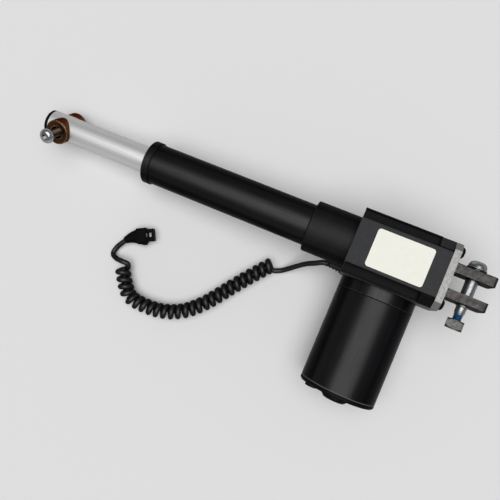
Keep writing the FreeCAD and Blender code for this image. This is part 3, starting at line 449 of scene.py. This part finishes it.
bpy.ops.object.select_all(action="DESELECT")
bpy.ops.mesh.primitive_plane_add(size=1.0, location=(0.0, 0.0, 0.0))
label = bpy.context.object
label.name = "bare_label"
label.scale = (label_length * MM, label_width * MM, 1.0)
bpy.ops.object.transform_apply(location=False, rotation=False, scale=True)
bpy.ops.object.mode_set(mode="EDIT")
bpy.ops.mesh.select_mode(type="VERT")
bpy.ops.mesh.select_all(action="SELECT")
bpy.ops.mesh.bevel(offset=label_corner * MM, segments=label_corner_steps, affect="VERTICES")
bpy.ops.object.mode_set(mode="OBJECT")
stock = label.modifiers.new("stock", "SOLIDIFY")
stock.thickness = label_thickness * MM
stock.offset = 1.0
bpy.ops.object.modifier_apply(modifier=stock.name)
machine_matrix = Matrix((along, across, up)).transposed()
label.matrix_world = Matrix.Translation(label_middle) @ machine_matrix.to_4x4()
bpy.ops.object.transform_apply(location=True, rotation=True, scale=True)
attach(label, "actuator_body")
print("label:", len(label.data.polygons), "faces")

# %% [markdown]
# ## Finishes
# Every finish starts from the same shader and gets its life from noise: small changes of colour, of gloss and
# of height, at the size that the real surface has them. Nodes could be set up one by one in each finish, but
# they are the same few every time, so short helpers add them and join them.

# %% Start a finish
def shader_input(finish, name):
    """One of the inputs of a finish's shader."""
    return finish.node_tree.nodes["Principled BSDF"].inputs[name]


def start_finish(name, colour, roughness, metallic=0.0, gloss=0.5):
    """New material of one colour and roughness, ready for its grain."""
    finish = bpy.data.materials.new(name)
    finish.use_nodes = True
    shader_input(finish, "Base Color").default_value = (*colour, 1.0)
    shader_input(finish, "Roughness").default_value = roughness
    shader_input(finish, "Metallic").default_value = metallic
    shader_input(finish, "Specular IOR Level").default_value = gloss
    return finish


def joined_to(finish, name):
    """What is joined to one of the shader's inputs so far."""
    return shader_input(finish, name).links[0].from_socket


def add_node(finish, kind, **inputs):
    """New node with some of its input values set."""
    node = finish.node_tree.nodes.new(kind)
    for name, value in inputs.items():
        node.inputs[name.replace("_", " ")].default_value = value
    return node


def join(finish, output, target):
    """Joins a node's output to an input."""
    finish.node_tree.links.new(output, target)


def combine(finish, operation, *values):
    """Result of a Math node's operation on one value or more."""
    node = add_node(finish, "ShaderNodeMath")
    node.operation = operation
    for value, target in zip(values, node.inputs):
        join(finish, value, target)
    return node.outputs["Value"]


# %% [markdown]
# An image texture would need a file and an unwrapped mesh. Noise needs neither: it reads object coordinates
# in metres, turned to the machine's own directions and stretched along the way that a surface was drawn or
# brushed. Its values bunch round the middle, so they are spread before they drive a colour or a roughness.
# A Mix node has inputs for several kinds of values: its two colours are the inputs 6 and 7, and the mixed
# colour is the output 2.

# %% Give it grain and colour
machine_turn = machine_matrix.to_euler()
evenly = (1.0, 1.0, 1.0)
noise_low, noise_high = 0.35, 0.65
mix_first, mix_second, mix_result = 6, 7, 2


def machine_place(finish, stretch=evenly):
    """Object coordinates in the machine's own directions, stretched by a factor along each."""
    place = add_node(finish, "ShaderNodeTexCoord")
    mapping = add_node(finish, "ShaderNodeMapping", Rotation=machine_turn, Scale=stretch, Location=crossing)
    mapping.vector_type = "TEXTURE"
    join(finish, place.outputs["Object"], mapping.inputs["Vector"])
    return mapping.outputs["Vector"]


def machine_axis(finish, name):
    """One of the machine's own coordinates X, Y and Z, in metres."""
    split = add_node(finish, "ShaderNodeSeparateXYZ")
    join(finish, machine_place(finish), split.inputs["Vector"])
    return split.outputs[name]


def grain(finish, size, stretch=evenly, detail=3.0):
    """Noise whose grains are about this many millimetres across."""
    noise = add_node(finish, "ShaderNodeTexNoise", Scale=1.0 / (size * MM), Detail=detail)
    join(finish, machine_place(finish, stretch), noise.inputs["Vector"])
    return noise.outputs["Fac"]


def spread(finish, value, first, last, value_low=noise_low, value_high=noise_high):
    """Number that goes from first to last as a value goes from low to high."""
    between = add_node(finish, "ShaderNodeMapRange", From_Min=value_low, From_Max=value_high,
                       To_Min=first, To_Max=last)
    join(finish, value, between.inputs["Value"])
    return between.outputs["Result"]


def vary_roughness(finish, value, first, last):
    """Roughness that goes from first to last over a noise."""
    join(finish, spread(finish, value, first, last), shader_input(finish, "Roughness"))


def mix_colours(finish, value, second):
    """Mix that ends in a second colour where a value is 1, joined to the shader's colour."""
    mix = add_node(finish, "ShaderNodeMix")
    mix.data_type = "RGBA"
    mix.inputs[mix_second].default_value = (*second, 1.0)
    join(finish, value, mix.inputs["Factor"])
    join(finish, mix.outputs[mix_result], shader_input(finish, "Base Color"))
    return mix


def tint(finish, value, first, second):
    """Colour that goes from the first to the second as a value goes from 0 to 1."""
    mix = mix_colours(finish, value, second)
    mix.inputs[mix_first].default_value = (*first, 1.0)


def paint_over(finish, value, colour):
    """Goes from the colour that a finish already has to another one as a value goes from 0 to 1."""
    colour_so_far = joined_to(finish, "Base Color")
    mix = mix_colours(finish, value, colour)
    join(finish, colour_so_far, mix.inputs[mix_first])


# %% [markdown]
# Real edges are never quite sharp. A Bevel modifier would round them, but the solids' meshes are left alone,
# so a Bevel node rounds them for the light only. Where its normal leaves the surface's own there is an edge,
# and that finds where a lighter colour goes, both as wear and as a painted highlight along the edge. A dark
# coat also loses its gloss where it is seen at a slant.

# %% Soften, wear, paint edge highlights and dull
bevel_samples = 6
edge_start, edge_end = 0.80, 0.985
slant_start, slant_end, slant_gloss = 0.08, 0.32, 0.02


def soft_edges(finish, radius):
    """Shading normal that rounds hard edges by a radius in millimetres."""
    bevel = add_node(finish, "ShaderNodeBevel", Radius=radius * MM)
    bevel.samples = bevel_samples
    return bevel.outputs["Normal"]


def relief(finish, value, depth, edge=0.3):
    """Bump of a depth in millimetres over softened edges."""
    bump = add_node(finish, "ShaderNodeBump", Distance=depth * MM, Strength=1.0)
    join(finish, value, bump.inputs["Height"])
    join(finish, soft_edges(finish, edge), bump.inputs["Normal"])
    join(finish, bump.outputs["Normal"], shader_input(finish, "Normal"))


def reach_along(finish, vector, way):
    """How far one vector reaches along another."""
    dot = add_node(finish, "ShaderNodeVectorMath")
    dot.operation = "DOT_PRODUCT"
    join(finish, vector, dot.inputs[0])
    join(finish, way, dot.inputs[1])
    return dot.outputs["Value"]


def edge_wear_and_highlight(finish, colour, radius):
    """Lets another colour show along hard edges, as wear and as a painted highlight."""
    surface = add_node(finish, "ShaderNodeNewGeometry")
    flatness = reach_along(finish, soft_edges(finish, radius), surface.outputs["Normal"])
    # Painted highlight and wear: the colour is mixed in along every hard edge.
    paint_over(finish, spread(finish, flatness, 1.0, 0.0, edge_start, edge_end), colour)


def dull_sides(finish, gloss):
    """Takes the gloss away from sides that are seen at a slant, as on a coat that swallows light."""
    facing = add_node(finish, "ShaderNodeLayerWeight", Blend=0.5)
    fading = spread(finish, facing.outputs["Facing"], gloss, slant_gloss, slant_start, slant_end)
    join(finish, fading, shader_input(finish, "Specular IOR Level"))


# %% [markdown]
# A finish replaces the plain material that a solid came with. The names of the dressed solids are kept, so
# that the end of the finishes can tell whether one was forgotten.

# %% Dress the solids
dressed = set()


def coat(piece, finish):
    """Gives a finish to one piece, in place of what it has."""
    piece.data.materials.clear()
    piece.data.materials.append(finish)


def dress(finish, *names):
    """Gives a finish to solids of the frame."""
    for name in names:
        coat(nodes[name], finish)
    dressed.update(names)
    print(finish.name, "on", ", ".join(names))


# %% [markdown]
# ## The black castings
# The gearbox housing is cast and painted black, with a fine orange peel, and the collar has the same kind of
# paint. On sharp edges a little grey is painted, both for the thin paint there and as a painted highlight
# along the edge.

# %% Matt black paint on castings
rubbed_paint_and_highlight = (0.05, 0.05, 0.052)
face_gloss, channel_gloss, collar_gloss = 0.32, 0.1, 0.24


def cast_paint(name, dark, light, smoothest, roughest, gloss):
    """Matt paint with a fine peel, and grey along edges as slightly rubbed paint and a painted highlight."""
    finish = start_finish(name, dark, smoothest, gloss=gloss)
    peel = grain(finish, size=0.9, detail=4.0)
    cloud = grain(finish, size=14.0)
    tint(finish, spread(finish, cloud, 0.0, 1.0), dark, light)
    # Painted highlight and thin paint: a little grey along hard edges.
    edge_wear_and_highlight(finish, rubbed_paint_and_highlight, radius=0.4)
    vary_roughness(finish, peel, first=smoothest, last=roughest)
    relief(finish, peel, depth=0.03, edge=0.5)
    return finish


housing_paint = cast_paint("housing_paint", dark=(0.010, 0.010, 0.0115), light=(0.014, 0.014, 0.016),
                           smoothest=0.48, roughest=0.6, gloss=face_gloss)
collar_paint = cast_paint("collar_paint", dark=(0.003, 0.003, 0.0034), light=(0.005, 0.005, 0.0055),
                          smoothest=0.46, roughest=0.58, gloss=collar_gloss)
dull_sides(collar_paint, collar_gloss)
dress(housing_paint, "gearbox_housing")
dress(collar_paint, "front_collar")

# %% [markdown]
# On the housing the upper face is greyer, and so is the corner block on the side away from the motor. The
# channels beside the face and the corner block on the motor's side are painted deep black as painted shade,
# for the shade deep in the channels and in the motor's shadow. Splitting the solid to give each its own paint
# would change its mesh, so a mask does it: limits along the machine's coordinates, each a value of 0 or 1,
# are multiplied where both must hold, and the larger one is taken where either will do.

# %% Paint shade into the channels
half_height, half_width, housing_front = 30.0, 29.5, 37.5
face_edge, channel_floor, side_skin, floor_skin = 0.7, 21.0, 0.2, 0.4
block_front, block_low, block_inner = -29.5, 23.0, 21.6
paint_edge = 0.1
channel_painted_shade = (0.0022, 0.0022, 0.0025)


def past(axis, limit):
    """Value of 1 where the housing's paint is past a limit along one of the machine's coordinates."""
    return spread(housing_paint, axis, 0.0, 1.0, (limit - paint_edge) * MM, (limit + paint_edge) * MM)


def short_of(axis, limit):
    """Value of 1 where the housing's paint is short of a limit."""
    return spread(housing_paint, axis, 1.0, 0.0, (limit - paint_edge) * MM, (limit + paint_edge) * MM)


def both(first, second):
    """Value of 1 where two values are 1."""
    return combine(housing_paint, "MULTIPLY", first, second)


def either(first, second):
    """Value of 1 where one of two values is 1."""
    return combine(housing_paint, "MAXIMUM", first, second)


lengthwise = machine_axis(housing_paint, "X")
crosswise = machine_axis(housing_paint, "Y")
sideways = combine(housing_paint, "ABSOLUTE", crosswise)
height = machine_axis(housing_paint, "Z")
below_face = both(short_of(height, half_height - face_edge), past(height, channel_floor - floor_skin))
off_sides = both(short_of(sideways, half_width - side_skin),
                 short_of(lengthwise, housing_front - side_skin))
off_block = either(past(lengthwise, block_front), short_of(height, block_low))
off_block = either(off_block, past(crosswise, -block_inner))
in_painted_shade = both(both(below_face, off_sides), off_block)
# Painted shade: the channels and the corner block on the motor's side get a near-black colour.
paint_over(housing_paint, in_painted_shade, channel_painted_shade)
housing_gloss = spread(housing_paint, in_painted_shade, face_gloss, channel_gloss, 0.0, 1.0)
join(housing_paint, housing_gloss, shader_input(housing_paint, "Specular IOR Level"))
print("housing paint:", len(housing_paint.node_tree.nodes), "nodes")

# %% [markdown]
# ## The tube and the motor
# The outer tube is drawn, then coated satin black, so its grain runs along it. The motor's can is drawn the
# other way and sprayed. At the adaptor it has a dull dark seam, and at the end cap a grey line, worn metal on
# the rim and a painted highlight of it. Both are painted by their place along the motor. Hard edges of these
# coats get a lighter colour, as wear and as a painted highlight.

# %% Satin black on drawn tubes
along_tube, along_motor = (40.0, 1.0, 1.0), (1.0, 40.0, 1.0)
can_front, can_rear = 39.2, 126.5
seam_width, line_width, line_blur = 0.9, 1.0, 0.1
line_grey = (0.09, 0.09, 0.092)
faint_edge, motor_edge_wear_and_highlight = (0.02, 0.02, 0.02), (0.12, 0.12, 0.12)
cloud_lift = 1.4


def lighter(colour):
    """Colour a little lighter than another, for the clouds in a coat."""
    return tuple(cloud_lift * part for part in colour)


def drawn_black(name, colour, roughness, drawn, edge_colour, gloss):
    """Satin coat over drawn metal, with fine lines along the way it was drawn."""
    finish = start_finish(name, colour, roughness, gloss=gloss)
    lines = grain(finish, 0.7, drawn, detail=2.0)
    cloud = grain(finish, size=25.0)
    tint(finish, spread(finish, cloud, 0.0, 1.0), colour, lighter(colour))
    # Painted highlight and wear: a lighter colour along hard edges.
    edge_wear_and_highlight(finish, edge_colour, radius=0.6)
    dull_sides(finish, gloss)
    vary_roughness(finish, lines, first=roughness - 0.05, last=roughness + 0.07)
    relief(finish, lines, depth=0.008)
    return finish


tube_coat = drawn_black("tube_coat", (0.002, 0.002, 0.0024), roughness=0.37, drawn=along_tube,
                        edge_colour=faint_edge, gloss=0.32)
motor_coat = drawn_black("motor_coat", (0.002, 0.002, 0.0026), roughness=0.33, drawn=along_motor,
                         edge_colour=motor_edge_wear_and_highlight, gloss=0.3)
adaptor_coat = drawn_black("adaptor_coat", (0.002, 0.002, 0.0026), roughness=0.3, drawn=along_motor,
                           edge_colour=faint_edge, gloss=0.36)


def past_on_motor(limit):
    """Value of 1 past a limit in millimetres along the motor, with a blurred edge."""
    place = machine_axis(motor_coat, "Y")
    return spread(motor_coat, place, 0.0, 1.0, (limit - line_blur) * MM, (limit + line_blur) * MM)


seamed_gloss = combine(motor_coat, "MULTIPLY", joined_to(motor_coat, "Specular IOR Level"),
                       past_on_motor(can_front + seam_width))
join(motor_coat, seamed_gloss, shader_input(motor_coat, "Specular IOR Level"))
# Painted highlight and wear: a grey line at the rear rim of the can.
paint_over(motor_coat, past_on_motor(can_rear - line_width), line_grey)
dress(tube_coat, "outer_tube")
dress(motor_coat, "motor_can")
dress(adaptor_coat, "motor_adaptor")

# %% [markdown]
# ## Moulded plastic
# The caps, the seals and the plug are moulded in black, with a fine spark-eroded texture and no direction at
# all. The front cap shines about as much as the tube behind it. The motor's end cap and the plug are dull.

# %% Moulded black plastic
def moulded(name, colour, roughness, texture=0.35, gloss=0.4):
    """Moulded plastic with a fine even texture."""
    finish = start_finish(name, colour, roughness, gloss=gloss)
    spark = grain(finish, texture, detail=2.0)
    flow = grain(finish, size=9.0)
    tint(finish, spread(finish, flow, 0.0, 1.0), colour, lighter(colour))
    dull_sides(finish, gloss)
    vary_roughness(finish, spark, first=roughness - 0.06, last=roughness + 0.08)
    relief(finish, spark, depth=0.02, edge=0.35)
    return finish


front_plastic = moulded("front_plastic", (0.003, 0.003, 0.0034), roughness=0.42, gloss=0.3)
cap_plastic = moulded("cap_plastic", (0.003, 0.003, 0.0034), roughness=0.46, gloss=0.08)
seal_rubber = moulded("seal_rubber", (0.009, 0.009, 0.009), roughness=0.6)
plug_plastic = moulded("plug_plastic", (0.003, 0.003, 0.0033), roughness=0.5, gloss=0.03)
dress(front_plastic, "front_cap")
dress(cap_plastic, "motor_end_cap", "rod_end_plug", "brush_card", "limit_switches")
dress(seal_rubber, "rod_wiper", "cable_gland")
dress(plug_plastic, "plug_boot", "plug_body", "plug_latch")

# %% [markdown]
# ## Bare and plated metal
# Metal gets its look from what it reflects, so its shader is fully metallic and the noise mostly changes its
# roughness. The rear plate is bare aluminium, tumbled to a fine speckle. The clevis and the nut are dark
# steel. The front screw is bright zinc. The rod is drawn and polished along its length.

# %% Bare aluminium, steel, zinc and the rod
metal_rim = (0.3, 0.3, 0.3, 1.0)


def bare_metal(name, dark, light, roughness, size, stretch=evenly, depth=0.02):
    """Metal with a speckle or a brushed grain of a size and depth in millimetres."""
    finish = start_finish(name, dark, roughness, metallic=1.0)
    shader_input(finish, "Specular Tint").default_value = metal_rim
    speck = grain(finish, size, stretch, detail=4.0)
    tint(finish, spread(finish, speck, 0.0, 1.0), dark, light)
    vary_roughness(finish, speck, first=roughness + 0.06, last=roughness - 0.06)
    relief(finish, speck, depth)
    return finish


plate_metal = bare_metal("plate_metal", (0.23, 0.225, 0.215), (0.31, 0.305, 0.295),
                         roughness=0.5, size=0.8, depth=0.03)
clevis_steel = bare_metal("clevis_steel", (0.045, 0.041, 0.040), (0.066, 0.061, 0.059),
                          roughness=0.44, size=3.0, depth=0.012)
zinc_plate = bare_metal("zinc_plate", (0.30, 0.31, 0.31), (0.46, 0.47, 0.47),
                        roughness=0.26, size=1.2, depth=0.008)
nut_steel = bare_metal("nut_steel", (0.085, 0.082, 0.077), (0.125, 0.122, 0.116),
                       roughness=0.45, size=2.0, depth=0.012)
rod_polish = bare_metal("rod_polish", (0.70, 0.695, 0.688), (0.78, 0.775, 0.768),
                        roughness=0.57, size=0.5, stretch=(60.0, 1.0, 1.0), depth=0.006)
screw_black = bare_metal("screw_black", (0.012, 0.012, 0.012), (0.022, 0.022, 0.022),
                         roughness=0.4, size=0.8, depth=0.01)
dress(plate_metal, "rear_plate")
dress(clevis_steel, "rear_clevis")
dress(nut_steel, "rear_nut")
dress(rod_polish, "inner_tube")
dress(screw_black, "rear_plate_screws", "adaptor_screws", "motor_through_bolts")

# %% [markdown]
# Two of these metals change with their place. The clevis is cut from rolled plate. The faces of its ears that
# look along the bolt are painted near-black as painted shade, and a lighter grey is painted along its edges
# as a painted highlight. The front screw's head is bright, and its thread is painted dark brown as a painted
# reflection of the saddle beside it.

# %% Painted shade and highlight on the clevis, painted reflection on the thread
ear_shade_start, ear_shade_end = 0.6, 0.9
ear_painted_shade, ear_edge_highlight = (0.006, 0.0055, 0.0055), (0.14, 0.13, 0.125)
saddle_reflection_brown, reflection_edge = (0.075, 0.055, 0.04), 0.8

facing = add_node(clevis_steel, "ShaderNodeSeparateXYZ")
join(clevis_steel, add_node(clevis_steel, "ShaderNodeTexCoord").outputs["Normal"], facing.inputs["Vector"])
along_bolt = combine(clevis_steel, "ABSOLUTE", facing.outputs["Y"])
ear_shade_mask = spread(clevis_steel, along_bolt, 0.0, 1.0, ear_shade_start, ear_shade_end)
# Painted shade: the ears' faces that look along the bolt are near-black.
paint_over(clevis_steel, ear_shade_mask, ear_painted_shade)
# Painted highlight: a lighter grey along the clevis's edges.
edge_wear_and_highlight(clevis_steel, ear_edge_highlight, radius=0.5)

eye_way = add_node(zinc_plate, "ShaderNodeCombineXYZ", Y=math.cos(eye_angle), Z=math.sin(eye_angle))
along_screw = reach_along(zinc_plate, machine_place(zinc_plate), eye_way.outputs["Vector"])
painted_reflection = spread(zinc_plate, along_screw, 1.0, 0.0, (screw_stand - reflection_edge) * MM, screw_stand * MM)
# Painted reflection: the screw's thread gets the saddle's dark brown.
paint_over(zinc_plate, painted_reflection, saddle_reflection_brown)
coat(front_screw, zinc_plate)
print("scale on the clevis, grease on", front_screw.name)

# %% [markdown]
# ## The saddles
# The eye's two saddles and the bush between them are zinc plated and yellow passivated. That film is thin, so
# its colour drifts between two reddish browns over a few millimetres; their red is partly a painted
# reflection of a pink surface. Along the rim a bright colour is painted, for metal rubbed through and as a
# painted highlight.

# %% Yellow passivated saddles
film_and_pink_reflection_brown, film_gold = (0.085, 0.031, 0.018), (0.125, 0.066, 0.031)
film_rim, rim_wear_and_highlight = (0.35, 0.22, 0.16, 1.0), (0.86, 0.66, 0.42)

saddle_film = start_finish("saddle_film", film_and_pink_reflection_brown, roughness=0.36, metallic=1.0)
shader_input(saddle_film, "Specular Tint").default_value = film_rim
drift = grain(saddle_film, size=5.0)
tint(saddle_film, spread(saddle_film, drift, 0.0, 1.0), film_and_pink_reflection_brown, film_gold)
# Painted highlight and wear: a bright colour along the rim.
edge_wear_and_highlight(saddle_film, rim_wear_and_highlight, radius=0.9)
vary_roughness(saddle_film, drift, first=0.42, last=0.3)
relief(saddle_film, grain(saddle_film, size=0.8), depth=0.012, edge=0.4)
dress(saddle_film, "upper_saddle", "lower_saddle", "cross_bush")

# %% [markdown]
# ## Inside the machine
# Nothing inside shows from outside, but the pieces still get what they are made of, for anyone who opens the
# part: bronze bushes, bearing steel, magnets, copper, laminations, a circuit board and an acetal nut. The
# plug's contacts, which do show a little, are made the same way.

# %% Metal inner pieces
bronze = bare_metal("bush_bronze", (0.45, 0.27, 0.12), (0.56, 0.36, 0.17), roughness=0.4, size=1.0)
bearing_steel = bare_metal("bearing_steel", (0.50, 0.50, 0.50), (0.60, 0.60, 0.60),
                           roughness=0.25, size=1.0)
copper = bare_metal("winding_copper", (0.50, 0.22, 0.12), (0.62, 0.30, 0.17), roughness=0.35, size=0.6)
lamination = bare_metal("core_lamination", (0.20, 0.20, 0.21), (0.28, 0.28, 0.29),
                        roughness=0.5, size=0.5, stretch=(1.0, 0.2, 1.0))
contact_tin = bare_metal("contact_tin", (0.14, 0.14, 0.135), (0.20, 0.20, 0.195), roughness=0.4, size=0.6)
dress(bronze, "guide_bush", "worm_wheel", "motor_rear_bush", "worm_end_bush")
dress(bearing_steel, "lead_screw", "front_screw_bearing", "rear_screw_bearing", "screw_lock_nut",
      "motor_shaft", "motor_front_bearing")
dress(copper, "commutator")
dress(lamination, "armature")
dress(contact_tin, "plug_terminals")

# %% Moulded and pressed inner pieces
magnet_grey = moulded("magnet_grey", (0.06, 0.06, 0.065), roughness=0.6)
board_green = moulded("board_green", (0.015, 0.09, 0.04), roughness=0.4)
acetal_white = moulded("acetal_white", (0.68, 0.67, 0.63), roughness=0.4)
brush_carbon = moulded("brush_carbon", (0.02, 0.02, 0.02), roughness=0.7)
dress(magnet_grey, "motor_magnets")
dress(board_green, "limit_switch_board")
dress(acetal_white, "drive_nut", "screw_tip_guide")
dress(brush_carbon, "motor_brushes")

# %% [markdown]
# ## Cord sheath, thread lock and label stock
# The sheath is soft black plastic, a little glossy. The bolt is a slightly duller zinc. Its blue band is
# painted by its place along the bolt, with a ragged edge, as thread lock is brushed on. The label stock is a
# matt off-white film with a faint mottle.

# %% Sheath and thread lock
band_start, band_start_blur = 24.0, 0.5
band_end, band_end_blur = 31.0, 0.3
band_ragged = 1.2
band_blue, band_metallic = (0.018, 0.095, 0.21), 0.25

sheath = moulded("cord_sheath", (0.009, 0.009, 0.009), roughness=0.36, texture=0.5, gloss=0.45)
coat(cord, sheath)

bolt_zinc = bare_metal("bolt_zinc", (0.22, 0.23, 0.23), (0.36, 0.37, 0.37),
                       roughness=0.33, size=1.2, depth=0.008)
band_place = machine_axis(bolt_zinc, "Y")
ragged_place = add_node(bolt_zinc, "ShaderNodeMath")
ragged_place.operation = "MULTIPLY_ADD"
ragged_place.inputs[1].default_value = band_ragged * MM
join(bolt_zinc, grain(bolt_zinc, size=2.0), ragged_place.inputs[0])
join(bolt_zinc, band_place, ragged_place.inputs[2])
in_from_start = spread(bolt_zinc, ragged_place.outputs["Value"], 0.0, 1.0,
                       band_start * MM, (band_start + band_start_blur) * MM)
in_from_end = spread(bolt_zinc, band_place, 1.0, 0.0, band_end * MM, (band_end + band_end_blur) * MM)
band = combine(bolt_zinc, "MULTIPLY", in_from_start, in_from_end)
paint_over(bolt_zinc, band, band_blue)
join(bolt_zinc, spread(bolt_zinc, band, 1.0, band_metallic, 0.0, 1.0), shader_input(bolt_zinc, "Metallic"))
coat(rear_bolt, bolt_zinc)
print("sheath on", cord.name, "and thread lock on", rear_bolt.name)

# %% Label stock
stock_cream, stock_pale = (0.91, 0.89, 0.79), (0.94, 0.92, 0.82)
label_stock = start_finish("label_stock", stock_cream, roughness=0.5, gloss=0.3)
mottle = grain(label_stock, size=6.0)
tint(label_stock, spread(label_stock, mottle, 0.0, 1.0), stock_cream, stock_pale)
vary_roughness(label_stock, mottle, first=0.4, last=0.52)
coat(label, label_stock)
replaced = {"cord_lead", "cord_curl", "cord_tail", "front_screw", "rear_bolt"}
print("not dressed:", sorted(set(nodes) - dressed - replaced))

# %% [markdown]
# ## Light and floor
# The photograph has one broad, soft source almost overhead: on the tube and the motor it leaves a single wide
# band, and both sides stay dark. A softbox would do that too, but its light falls off along the floor. So a
# sun as wide as a big softbox stands almost overhead. The world is dim above, where the sun is, and pale
# towards the horizon, so that views from the side have a pale background. Together they light a flat surface
# so that its colour renders about as written. The floor is plain and pale.

# %% Light the scene
sky_colour = (0.97, 0.98, 1.0, 1.0)
pale_below, dim_above = 0.08, 0.35
pale_strength, dim_strength = 0.74, 0.18
sun_strength = 2.3
sun_width = math.radians(62.0)
sun_colour = (0.98, 0.99, 1.0)
sun_way = Vector((0.0, 0.09, 1.0))

scene.view_settings.view_transform = "Standard"
world = bpy.data.worlds.new("studio")
world.use_nodes = True
background = world.node_tree.nodes["Background"]
background.inputs["Color"].default_value = sky_colour
sky_way = add_node(world, "ShaderNodeSeparateXYZ")
join(world, add_node(world, "ShaderNodeTexCoord").outputs["Generated"], sky_way.inputs["Vector"])
sky_strength = spread(world, sky_way.outputs["Z"], pale_strength, dim_strength, pale_below, dim_above)
join(world, sky_strength, background.inputs["Strength"])
scene.world = world

soft_sun = bpy.data.lights.new("soft_sun", "SUN")
soft_sun.energy = sun_strength
soft_sun.angle = sun_width
soft_sun.color = sun_colour
sun_lamp = bpy.data.objects.new("soft_sun", soft_sun)
scene.collection.objects.link(sun_lamp)
sun_lamp.rotation_euler = sun_way.to_track_quat("Z", "Y").to_euler()
print("sun %.0f degrees wide" % math.degrees(soft_sun.angle))

# %% Lay the floor
floor_size = 40.0
floor_drop = 0.2 * MM
floor_colour = (0.80, 0.79, 0.78)

bpy.ops.object.select_all(action="DESELECT")
bpy.ops.mesh.primitive_plane_add(size=floor_size, location=(0.0, 0.0, -floor_drop))
floor = bpy.context.object
floor.name = "floor"
coat(floor, start_finish("pale_floor", floor_colour, roughness=0.9))
print("floor: %.0f m wide" % floor_size)

# %% [markdown]
# ## The two boxes
# The cord and the screws stand in for plainer solids, so the box round what is shown may differ a little from
# the box round the solids.

# %% Update the scene
bpy.context.view_layer.update()
